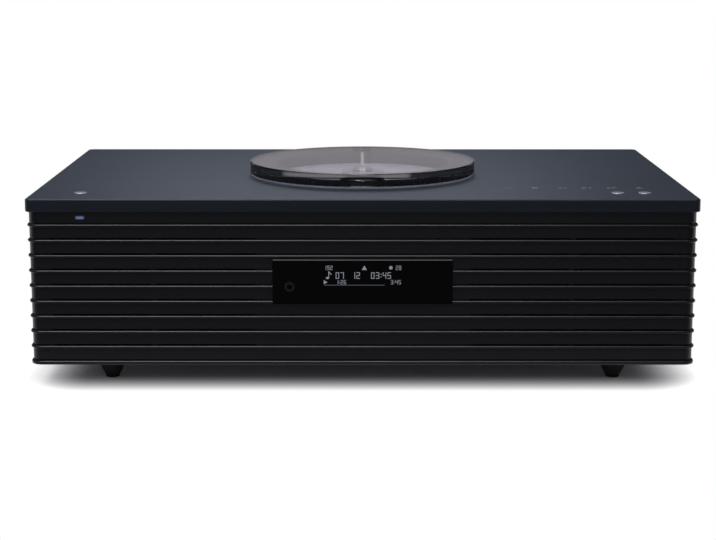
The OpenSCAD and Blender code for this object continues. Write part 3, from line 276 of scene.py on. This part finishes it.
def lid_finish(low, high):
    """Clear acrylic with hair-fine wipe marks; its rim carries painted shade, a dark layer that is
    darkest in the lower half.
    """
    centre = (low + high) / 2
    radius = (high.x - low.x) / 2
    rim_skin = (radius - 0.0006, radius - 0.0004)
    painted_shade_thins = (low.z + 0.0035, low.z + 0.0070)
    clear_edge = (high.z - 0.0008, high.z - 0.0004)
    # How dark the painted shade on the rim is at its foot and at its top
    low_painted_shade = 0.94
    high_painted_shade = 0.36
    edge_clearing = 0.7
    acrylic_ior = 1.49
    f = Finish("lid_acrylic")
    wipe = f.noise((120, 900, 120), detail=4, rough=0.7)
    body = f.shader(
        Base_Color=f.mix(f.noise(20, detail=2), (0.90, 0.89, 0.92), (0.94, 0.93, 0.96)),
        Roughness=0.004 + 0.012 * f.above(wipe, 0.55, 0.8),
        Transmission_Weight=1.0,
        IOR=acrylic_ior,
        Normal=f.bump(wipe, strength=0.02, depth=0.00001))
    # painted shade: a dark glossy layer over the rim, darkest low down and clearing at the top edge
    painted_rim_shade = f.shader(
        Base_Color=f.mix(wipe, shade(11, 10, 12), shade(19, 17, 19)),
        Roughness=0.22 + 0.1 * wipe)
    rim = f.above(f.from_upright(centre.x, centre.y), *rim_skin)
    upper = f.above(f.axis("Z"), *painted_shade_thins)
    edge = f.above(f.axis("Z"), *clear_edge)
    painted_shade_share = rim * (low_painted_shade - (low_painted_shade - high_painted_shade) * upper) * (1 - edge_clearing * edge)
    passing = f.node("ShaderNodeBsdfTransparent", None, {"Color": (0.82, 0.81, 0.84, 1)})
    return f.end(f.blend(f.ray("Shadow"), f.blend(painted_shade_share, body, painted_rim_shade), passing))


def hub_finish(axis_y):
    """Grey centring boss with a painted highlight as a white spot on its top and a painted highlight
    streak down its front, on a pale moulded platform.
    """
    # Edges of the painted highlights: a white spot on top of the boss and a white streak down its front
    painted_glint_edge = (0.0030, 0.0034)
    boss_edge = (0.0074, 0.0078)
    painted_streak_back = (axis_y - 0.0050, axis_y - 0.0044)
    painted_streak_side = (0.0018, 0.0026)
    painted_streak_front = (0.0076, 0.0080)
    f = Finish("hub_moulding")
    away = f.from_upright(0.0, axis_y)
    painted_glint = f.below(away, *painted_glint_edge)
    # painted highlight: a white streak down the front of the boss
    mark = f.below(f.axis("Y"), *painted_streak_back) * f.below(abs(f.axis("X")), *painted_streak_side)
    mark = mark * f.below(away, *painted_streak_front)
    grain = f.noise(900, detail=2)
    colour = f.mix(f.above(away, *boss_edge), shade(108, 107, 114), shade(158, 156, 166))
    # the painted highlights whiten the boss's top centre and its front streak
    colour = f.mix(painted_glint + mark, colour, shade(244, 244, 248))
    return f.surface(
        Base_Color=f.mix(0.2 * grain * (1 - mark), colour, shade(96, 96, 102)),
        Metallic=0.3 * painted_glint,
        Roughness=0.34 + 0.1 * grain,
        Normal=f.bump(grain, strength=0.2, depth=0.00001))


def pivot_finish(low, high):
    """Dark turned metal with a painted highlight, a bright line down the front of the pivot's housing.
    """
    painted_highlight_side = (0.0008, 0.0014)
    painted_highlight_back = (low.y + 0.001, low.y + 0.002)
    f = Finish("pivot_turned")
    beside = abs(f.axis("X") - (low.x + high.x) / 2)
    # painted highlight: a near-white line down the housing's front, less metallic there
    line = f.below(beside, *painted_highlight_side) * f.below(f.axis("Y"), *painted_highlight_back)
    grain = f.noise((900, 900, 40), detail=2)
    dark = f.mix(grain, shade(34, 34, 38), shade(46, 46, 51))
    return f.surface(
        Base_Color=f.mix(line, dark, shade(240, 240, 246)),
        Metallic=0.5 - 0.5 * line,
        Roughness=0.42 + 0.12 * grain,
        Normal=f.bump(grain, strength=0.2, depth=0.00001))


def lamp_finish(low, high):
    """Blue light guide that glows in its middle; its ends and edges stay dim."""
    core_side = (0.0014, 0.0036)
    core_edge = (0.0005, 0.0015)
    core_drop = 0.0004
    f = Finish("lamp_blue")
    centre = (low + high) / 2
    beside = abs(f.axis("X") - centre.x)
    upright = abs(f.axis("Z") - (centre.z - core_drop))
    core = f.below(beside, *core_side) * f.below(upright, *core_edge)
    glow = f.noise(700, detail=2)
    bright = f.mix(glow, shade(88, 106, 138), shade(108, 124, 156))
    return f.surface(
        Base_Color=f.mix(glow, shade(10, 16, 34), shade(16, 24, 46)),
        Roughness=0.25 + 0.1 * glow,
        Emission_Color=f.mix(core, shade(12, 22, 44), bright),
        Emission_Strength=0.8,
        Normal=f.bump(glow, strength=0.1, depth=0.00001))


def lit_finish(name, colour, strength):
    """A lit figure, a little uneven as display dots are."""
    f = Finish(name)
    glow = f.noise(900, detail=2)
    return f.surface(
        Base_Color=toned(colour, 0.2),
        Roughness=0.4 + 0.1 * glow,
        Emission_Color=f.mix(glow, toned(colour, 0.8), colour),
        Emission_Strength=strength,
        Normal=f.bump(glow, strength=0.1, depth=0.00001))


def cloth_finish():
    """Black speaker cloth with a fine square weave."""
    f = Finish("grille_cloth")
    warp, weft = [
        f.node("ShaderNodeTexWave", {"wave_type": "BANDS", "bands_direction": way},
               {"Vector": f.place(), "Scale": 420.0, "Distortion": 0.3})
        for way in "XZ"]
    weave = 0.5 * warp + 0.5 * weft
    return f.surface(
        Base_Color=f.mix(weave, (0.002, 0.002, 0.002), (0.012, 0.012, 0.014)),
        Roughness=0.8 + 0.1 * weave,
        Normal=f.bump(weave, strength=0.5, depth=0.0002))


def board_finish(name, colour):
    """Circuit board: tracks show as lighter paths under the resist."""
    f = Finish(name)
    paths = f.node("ShaderNodeTexVoronoi", {"distance": "MANHATTAN", "feature": "DISTANCE_TO_EDGE"},
                   {"Vector": f.place(), "Scale": 140.0})
    track = f.below(paths, 0.03, 0.07)
    return f.surface(
        Base_Color=f.mix(track, colour, toned(colour, 2.2)),
        Roughness=0.45 - 0.1 * track,
        Normal=f.bump(track, strength=0.4, depth=0.00004))


def paper_finish():
    """Pressed paper cone with fibres."""
    f = Finish("cone_paper")
    fibre = f.noise((700, 900, 900), detail=5, rough=0.7)
    return f.surface(
        Base_Color=f.mix(fibre, (0.010, 0.010, 0.012), (0.028, 0.028, 0.031)),
        Roughness=0.7 + 0.15 * fibre,
        Normal=f.bump(fibre, strength=0.5, depth=0.0001))


def lens_finish():
    """Blue coated lens of the pickup."""
    f = Finish("lens_coated")
    haze = f.noise(900)
    return f.surface(
        Base_Color=f.mix(f.noise(600), (0.12, 0.2, 0.5), (0.3, 0.4, 0.75)),
        Roughness=0.05 + 0.05 * haze,
        Coat_Weight=1.0,
        Normal=f.bump(haze, strength=0.05, depth=0.000005))


# Each finish with the CAD pieces that wear it
dressing = [
    (fin_finish(), ["cabinet_shell"]),
    (plate_finish(), ["top_plate"]),
    (moulded_finish("bottom_paint", shade(24, 24, 27), 0.6), ["bottom_plate"]),
    (moulded_finish("rear_spark", shade(22, 23, 26), 0.65, grain=1800, depth=0.00006),
     ["rear_panel"]),
    (moulded_finish("baffle_stain", shade(38, 33, 29), 0.75, grain=700, depth=0.0001),
     ["front_baffle"]),
    (cloth_finish(), ["grille_cloth"]),
    (moulded_finish("window_gloss", shade(2, 2, 4), 0.16, grain=300, depth=0.000004, gloss=0.20),
     ["display_window"]),
    (moulded_finish("module_glass", shade(10, 12, 15), 0.2, grain=500, depth=0.00001),
     ["display_module"]),
    (metal_finish("jack_collar", shade(74, 76, 82), 0.28, lines=(900, 900, 900)),
     ["headphone_jack"]),
    (lamp_finish(*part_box("power_lamp")), ["power_lamp"]),
    (moulded_finish("well_satin", shade(192, 187, 202), 0.45, grain=900, depth=0.00001, spread=0.06),
     ["disc_well"]),
    (pivot_finish(*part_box("pivot_post")), ["pivot_post"]),
    (metal_finish("plated_terminal", shade(188, 190, 196), 0.25), ["antenna_terminal"]),
    (moulded_finish("black_zinc", shade(46, 47, 52), 0.4), ["mech_chassis"]),
    (moulded_finish("soft_rubber", shade(18, 18, 19), 0.8, grain=900, depth=0.0001),
     ["mech_dampers", "woofer_surround_left", "woofer_surround_right",
      "subwoofer_surround", "foot_pads"]),
    (metal_finish("motor_can", shade(140, 142, 148), 0.35), ["spindle_motor", "sled_motor"]),
    (metal_finish("ground_steel", shade(200, 202, 207), 0.15, lines=(30, 900, 900)),
     ["guide_rods", "chuck_balls"]),
    (moulded_finish("pressed_frame", shade(36, 37, 40), 0.45),
     ["woofer_frames", "subwoofer_frame", "tweeter_bodies", "tweeter_lenses", "bass_port"]),
    (moulded_finish("ferrite", shade(52, 53, 58), 0.7, grain=600, depth=0.0001),
     ["woofer_magnets", "subwoofer_magnet"]),
    (paper_finish(), ["woofer_cone_left", "woofer_cone_right", "subwoofer_cone"]),
    (metal_finish("foil_dome", shade(190, 193, 200), 0.3, lines=(300, 300, 300)),
     ["tweeter_dome_left", "tweeter_dome_right"]),
    (board_finish("green_board", shade(28, 74, 44)),
     ["main_board", "touch_board", "power_switch_board"]),
    (board_finish("tan_board", shade(96, 74, 48)), ["power_board"]),
    (metal_finish("black_sink", shade(84, 86, 92), 0.45), ["heat_sink"]),
    (moulded_finish("taped_winding", shade(196, 158, 72), 0.5), ["transformer"]),
    (moulded_finish("socket_black", shade(18, 18, 20), 0.45),
     ["ac_inlet", "optical_socket", "aux_jack"]),
    (metal_finish("tinned_can", shade(168, 170, 176), 0.3), ["lan_socket", "usb_socket"]),
    (moulded_finish("foot_satin", shade(13, 13, 15), 0.45), ["feet"]),
    (metal_finish("black_screw", shade(44, 44, 47), 0.35), ["case_screws"]),
    (metal_finish("polished_cap", shade(210, 212, 217), 0.18, lines=(600, 600, 600)), ["lid_cap"]),
    (moulded_finish("bush_nylon", shade(206, 203, 208), 0.5, grain=900, depth=0.00001, spread=0.05),
     ["lid_bush"]),
    (hub_finish(top_centre("turntable_hub")[1]), ["turntable_hub"]),
    (moulded_finish("sled_moulding", shade(36, 38, 43), 0.5), ["pickup_sled"]),
    (moulded_finish("acetal", shade(226, 222, 210), 0.5), ["sled_gear", "motor_pinion"]),
    (metal_finish("button_satin", shade(172, 177, 186), 0.52, lines=(1200, 1200, 1200)),
     ["power_button", "volume_down_button", "volume_up_button"]),
    (lid_finish(*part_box("lid_disc")), ["lid_disc"]),
    (lens_finish(), ["pickup_lens"]),
]
finish_of = {name: finish for finish, names in dressing for name in names}
for name, part in nodes.items():
    part.data.materials.clear()
    part.data.materials.append(finish_of[name])

# Prints: how thick they are, and how far they stand off the window and the plate
PRINT_DEPTH = 0.00002
WINDOW_GAP = 0.00002
PLATE_GAP = 0.00001

# Bent strips: their steps, and the opening in degrees where a full ring would meet itself
ARC_STEPS = 36
ARC_OPENING = 0.001


def add_print(name, outlines, to_space, finish, body):
    """Thin raised prints on a body of the part; an outline is a ring of points of the drawing."""
    shape = bmesh.new()
    for ring in outlines:
        low = [shape.verts.new(to_space(u, v, 0)) for u, v in ring]
        high = [shape.verts.new(to_space(u, v, PRINT_DEPTH)) for u, v in ring]
        shape.faces.new(high)
        shape.faces.new(low[::-1])
        for i in range(len(ring)):
            j = (i + 1) % len(ring)
            shape.faces.new((low[i], low[j], high[j], high[i]))
    bmesh.ops.recalc_face_normals(shape, faces=shape.faces)
    mesh = bpy.data.meshes.new(name)
    shape.to_mesh(mesh)
    shape.free()
    made = bpy.data.objects.new(name, mesh)
    scene.collection.objects.link(made)
    made.data.materials.append(finish)
    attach(made, body)


def box_ring(u0, v0, u1, v1):
    """A box between two corners."""
    return [(u0, v0), (u1, v0), (u1, v1), (u0, v1)]


def round_ring(u, v, half_u, half_v, steps=16):
    """A disc or an oval."""
    turns = [2 * math.pi * i / steps for i in range(steps)]
    return [(u + half_u * math.cos(a), v + half_v * math.sin(a)) for a in turns]


def arc_band(u, v, outer, inner, start, end):
    """A bent strip between two radii, from start to just before end, in degrees."""
    sweep = end - ARC_OPENING - start
    turns = [math.radians(start + sweep * i / ARC_STEPS) for i in range(ARC_STEPS + 1)]
    out = [(u + outer * math.cos(a), v + outer * math.sin(a)) for a in turns]
    back = [(u + inner * math.cos(a), v + inner * math.sin(a)) for a in reversed(turns)]
    return out + back


def placed(rings, u, v, size):
    """Rings drawn in shares of a size, at that size and with their corner at u, v."""
    return [[(u + size * x, v + size * y) for x, y in ring] for ring in rings]


# Lit figures of the display, drawn in shares of their height
DIGIT_WIDTH = 0.52
DIGIT_BAR = 0.11
DIGIT_STEP = 0.72
COLON_DOT = 0.14
OTHER_STEPS = {":": 0.34, " ": 0.5}
BARS = {
    "a": box_ring(0, 1 - DIGIT_BAR, DIGIT_WIDTH, 1),
    "b": box_ring(DIGIT_WIDTH - DIGIT_BAR, 0.5, DIGIT_WIDTH, 1),
    "c": box_ring(DIGIT_WIDTH - DIGIT_BAR, 0, DIGIT_WIDTH, 0.5),
    "d": box_ring(0, 0, DIGIT_WIDTH, DIGIT_BAR),
    "e": box_ring(0, 0, DIGIT_BAR, 0.5),
    "f": box_ring(0, 0.5, DIGIT_BAR, 1),
    "g": box_ring(0, 0.5 - DIGIT_BAR / 2, DIGIT_WIDTH, 0.5 + DIGIT_BAR / 2),
    "low_dot": box_ring(0, 0.22, COLON_DOT, 0.22 + COLON_DOT),
    "high_dot": box_ring(0, 0.62, COLON_DOT, 0.62 + COLON_DOT),
}
MARK_BARS = {
    "0": "abcdef", "1": "bc", "2": "abged", "3": "abgcd", "4": "fgbc", "5": "afgcd", "6": "afgedc",
    "7": "abc", "8": "abcdefg", "9": "abfgcd", ":": ("low_dot", "high_dot"), " ": (),
}


def figures(text, u, v, height):
    """Digits, colons and spaces in a row."""
    drawn = []
    for mark in text:
        drawn += placed([BARS[bar] for bar in MARK_BARS[mark]], u, v, height)
        u += height * OTHER_STEPS.get(mark, DIGIT_STEP)
    return drawn


def note_sign(u, v, height):
    """A plain quaver."""
    head = round_ring(0.20, 0.14, 0.20, 0.14)
    stem = box_ring(0.33, 0.12, 0.42, 1)
    flag = [(0.42, 1), (0.42, 0.78), (0.72, 0.52), (0.74, 0.62)]
    return placed([head, stem, flag], u, v, height)


plate_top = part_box("top_plate")[1].z
window_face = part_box("display_window")[0].y

# Heights of the figures, and their rows measured down from the plate's top
SMALL_FIGURE = 0.0029
LARGE_FIGURE = 0.0044
NOTE_HEIGHT = 0.0052
HIGH_ROW = plate_top - 0.0478
MIDDLE_ROW = plate_top - 0.0540
LOW_ROW = plate_top - 0.0576


def on_window(u, v, lift):
    """A point of a drawing that stands on the display window."""
    return Vector((u, window_face - WINDOW_GAP - lift, v))


lit = figures("192", -0.0258, HIGH_ROW, SMALL_FIGURE)
lit.append([(-0.0005, HIGH_ROW), (0.0029, HIGH_ROW), (0.0012, HIGH_ROW + 0.0030)])
lit.append(round_ring(0.0189, HIGH_ROW + 0.0015, 0.0012, 0.0012))
lit += figures("28", 0.0222, HIGH_ROW, SMALL_FIGURE)
lit += note_sign(-0.0246, MIDDLE_ROW, NOTE_HEIGHT)
lit += figures("07  12   03:45", -0.0180, MIDDLE_ROW + 0.0002, LARGE_FIGURE)
lit.append([(-0.0260, LOW_ROW), (-0.0260, LOW_ROW + SMALL_FIGURE),
            (-0.0236, LOW_ROW + SMALL_FIGURE / 2)])
lit += figures("1:26", -0.0178, LOW_ROW, SMALL_FIGURE)
lit += figures("3:45", 0.0189, LOW_ROW, SMALL_FIGURE)
add_print("display_figures", lit, on_window,
          lit_finish("display_white", shade(196, 200, 212), 0.36), "cabinet")
add_print("display_line", [box_ring(-0.0256, LOW_ROW - 0.0008, 0.0148, LOW_ROW - 0.0003)], on_window,
          lit_finish("display_dim", shade(150, 153, 164), 0.12), "cabinet")

# Printed signs on the top plate and the buttons
SIGN_ROW = -0.0868
FIRST_SIGN = 0.1014
SIGN_PITCH = 0.01806
SIGN_HALF = 0.0025
STOP_HALF = 0.0022
SOURCE_OUTER = 0.0024
SOURCE_INNER = 0.0017
SKIP_ARROW = 0.0036
SKIP_LEAD = 0.0013
SKIP_TRAIL = 0.0021
PLAY_ARROW = 0.0046
PLAY_SHIFT = 0.0011
PAUSE_NEAR = 0.0019
PAUSE_FAR = 0.0029
EJECT_BASE = 0.0011
EJECT_BAR = 0.0016
POWER_OUTER = 0.0021
POWER_INNER = 0.0016
POWER_DROP = 0.0002
POWER_ARC = (120, 420)
POWER_BAR = (0.0006, 0.0026)
STROKE_HALF = 0.00025
STROKE_REACH = 0.002
STROKE_GAP = 0.00026


def on_height(height):
    """A function that lays the points of a drawing level at this height."""
    return lambda u, v, lift: Vector((u, v, height + lift))


def arrow(u, v, size, way=1):
    """A triangle that points along u, or against it where way is -1."""
    return [(u - way * size * 0.5, v - size * 0.55), (u - way * size * 0.5, v + size * 0.55),
            (u + way * size * 0.5, v)]


source_x, stop_x, back_x, play_x, forward_x, eject_x = [FIRST_SIGN + SIGN_PITCH * k for k in range(6)]
signs = [
    arc_band(source_x, SIGN_ROW, SOURCE_OUTER, SOURCE_INNER, 0, 360),
    box_ring(stop_x - STOP_HALF, SIGN_ROW - STOP_HALF, stop_x + STOP_HALF, SIGN_ROW + STOP_HALF),
    arrow(back_x - SKIP_LEAD, SIGN_ROW, SKIP_ARROW, -1),
    arrow(back_x + SKIP_TRAIL, SIGN_ROW, SKIP_ARROW, -1),
    arrow(play_x - PLAY_SHIFT, SIGN_ROW, PLAY_ARROW),
    box_ring(play_x + PAUSE_NEAR, SIGN_ROW - SIGN_HALF, play_x + PAUSE_FAR, SIGN_ROW + SIGN_HALF),
    arrow(forward_x - SKIP_TRAIL, SIGN_ROW, SKIP_ARROW),
    arrow(forward_x + SKIP_LEAD, SIGN_ROW, SKIP_ARROW),
    [(eject_x - SIGN_HALF, SIGN_ROW - EJECT_BASE), (eject_x + SIGN_HALF, SIGN_ROW - EJECT_BASE),
     (eject_x, SIGN_ROW + SIGN_HALF)],
    box_ring(eject_x - SIGN_HALF, SIGN_ROW - SIGN_HALF, eject_x + SIGN_HALF, SIGN_ROW - EJECT_BAR),
]
add_print("touch_signs", signs, on_height(plate_top + PLATE_GAP),
          moulded_finish("sign_print", shade(104, 109, 120), 0.6), "cabinet")

button_print = moulded_finish("button_print", shade(112, 117, 126), 0.6)
u, v, height = top_centre("power_button")
power_sign = [arc_band(u, v - POWER_DROP, POWER_OUTER, POWER_INNER, *POWER_ARC),
              box_ring(u - STROKE_HALF, v + POWER_BAR[0], u + STROKE_HALF, v + POWER_BAR[1])]
add_print("power_sign", power_sign, on_height(height), button_print, "power_key")

u, v, height = top_centre("volume_down_button")
minus_sign = [box_ring(u - STROKE_REACH, v - STROKE_HALF, u + STROKE_REACH, v + STROKE_HALF)]
add_print("minus_sign", minus_sign, on_height(height), button_print, "volume_down_key")

u, v, height = top_centre("volume_up_button")
plus_sign = [box_ring(u - STROKE_REACH, v - STROKE_HALF, u + STROKE_REACH, v + STROKE_HALF),
             box_ring(u - STROKE_HALF, v + STROKE_GAP, u + STROKE_HALF, v + STROKE_REACH),
             box_ring(u - STROKE_HALF, v - STROKE_REACH, u + STROKE_HALF, v - STROKE_GAP)]
add_print("plus_sign", plus_sign, on_height(height), button_print, "volume_up_key")

# Studio: reach of the floor, half the ground that keeps the shadow, and how that fades to white
FLOOR_REACH = 6.0
SHADOW_GROUND = (0.189, 0.087, 0.0)
SHADOW_FADE = 0.0465
FADE_POWER = 2.5
WHITE = (1.0, 1.0, 1.0)


def add_floor():
    """White to the camera, with the part's shadow; mirrors see that behind the part only, and soft
    light meets a grey floor."""
    mesh = bpy.data.meshes.new("floor")
    corners = box_ring(-FLOOR_REACH, -FLOOR_REACH, FLOOR_REACH, FLOOR_REACH)
    mesh.from_pydata([(x, y, 0) for x, y in corners], [], [(0, 1, 2, 3)])
    floor = bpy.data.objects.new("floor", mesh)
    scene.collection.objects.link(floor)
    f = Finish("floor_white")
    beside = f.vector_math("ABSOLUTE", f.stretched(FLAT))
    past = f.vector_math("SUBTRACT", beside, SHADOW_GROUND)
    away = f.length(f.vector_math("MAXIMUM", past, (0.0, 0.0, 0.0)))
    whiter = away.math("MINIMUM", away / SHADOW_FADE, 1.0) ** FADE_POWER
    paper = f.node("ShaderNodeBsdfDiffuse", None,
                   {"Color": f.mix(f.noise(8), (0.84, 0.84, 0.88), (0.88, 0.88, 0.92))})
    grey = f.node("ShaderNodeBsdfDiffuse", None,
                  {"Color": f.mix(f.noise(8), (0.10, 0.10, 0.10), (0.12, 0.12, 0.12))})
    white = f.node("ShaderNodeEmission", None, {"Color": opaque(WHITE), "Strength": 1.0})
    behind = f.above(f.axis("Y"), -0.30, 0.0)
    seen = f.above(f.ray("Camera") + f.mirrored() * behind, 0.0, 1.0)
    floor.data.materials.append(f.end(f.blend(seen, grey, f.blend(whiter, paper, white))))


def add_room():
    """White to the camera; to the part a grey room, bright over its back and dim before it."""
    scene.world = bpy.data.worlds.new("studio")
    w = Finish("studio", scene.world)
    across, back, high = [w.axis(name, "Generated") for name in "XYZ"]
    beside = abs(across)
    behind = w.above(back, -0.35, 0.25)
    # a cool softbox over the back, which the brushed plate shows
    softbox = w.below(abs(across + 0.02), 0.02, 0.26) * w.above(high, 0.09, 0.42)
    ceiling = w.mix(w.above(high, 0.35, 0.85), (0.030, 0.034, 0.042), (0.34, 0.35, 0.38))
    wall = w.mix(softbox, ceiling, (0.31, 0.36, 0.47))
    # a low grey card, which the lid and its rim show
    outer = w.above(beside, 0.075, 0.11)
    card = w.above(high - 0.024 * outer, 0.100, 0.108) * w.below(high, 0.144, 0.152)
    card = card * w.above(across, -0.29, -0.24) * w.below(across, 0.48, 0.54)
    wall = w.mix(card, wall, w.mix(outer, (0.30, 0.285, 0.30), (0.42, 0.40, 0.42)))
    # white along the horizon, as the floor is
    wall = w.mix(w.above(high, 0.004, 0.022), WHITE, wall)
    # a narrow bright strip around the camera, which the pivot and the hub show
    strip = w.below(beside, 0.03, 0.06) * w.below(high, 0.25, 0.35)
    front = w.mix(strip, (0.02, 0.02, 0.022), (1.2, 1.2, 1.25))
    soft = w.mix(behind, (0.55, 0.55, 0.58), (0.30, 0.30, 0.31))
    room = w.mix(w.above(w.mirrored(), 0.4, 0.6), soft, w.mix(behind, front, wall))
    w.end(w.node("ShaderNodeBackground", None,
                 {"Color": w.mix(w.ray("Camera"), room, WHITE), "Strength": 1.0}))


def add_lamp(name, place, aim, size, power, colour=WHITE):
    """A lit rectangle that faces the point it aims at."""
    data = bpy.data.lights.new(name, "AREA")
    data.shape = "RECTANGLE"
    data.size, data.size_y = size
    data.energy = power
    data.color = colour
    made = bpy.data.objects.new(name, data)
    scene.collection.objects.link(made)
    made.location = place
    made.rotation_euler = (Vector(aim) - Vector(place)).to_track_quat("-Z", "Y").to_euler()


add_floor()
add_room()
add_lamp("key_above", place=(-0.25, -0.45, 1.35), aim=(0, 0, 0.05), size=(1.0, 0.7), power=13.0)
add_lamp("softbox_behind", place=(-0.03, 0.50, 0.50), aim=(-0.03, -0.04, 0.13), size=(0.46, 0.20),
         power=0.50, colour=(0.94, 0.97, 1.0))

# Camera of the photo, fitted to the part's corners: focal length in pixels, dip and turn in radians
SENSOR_WIDTH = 36.0
PHOTO_WIDTH = 716
FOCAL_PIXELS = 1715.873
CAMERA_PLACE = (-0.00150168, -1.26678567, 0.30095231)
CAMERA_DIP = 0.189205
CAMERA_TURN = 0.001396
CAMERA_REACH = 50

lens = bpy.data.cameras.new("camera")
lens.sensor_width = SENSOR_WIDTH
lens.lens = FOCAL_PIXELS * SENSOR_WIDTH / PHOTO_WIDTH
lens.clip_end = CAMERA_REACH
camera = bpy.data.objects.new("camera", lens)
scene.collection.objects.link(camera)
camera.location = CAMERA_PLACE
camera.rotation_euler = (math.pi / 2 - CAMERA_DIP, 0, CAMERA_TURN)
scene.camera = camera
scene.view_settings.view_transform = "Standard"
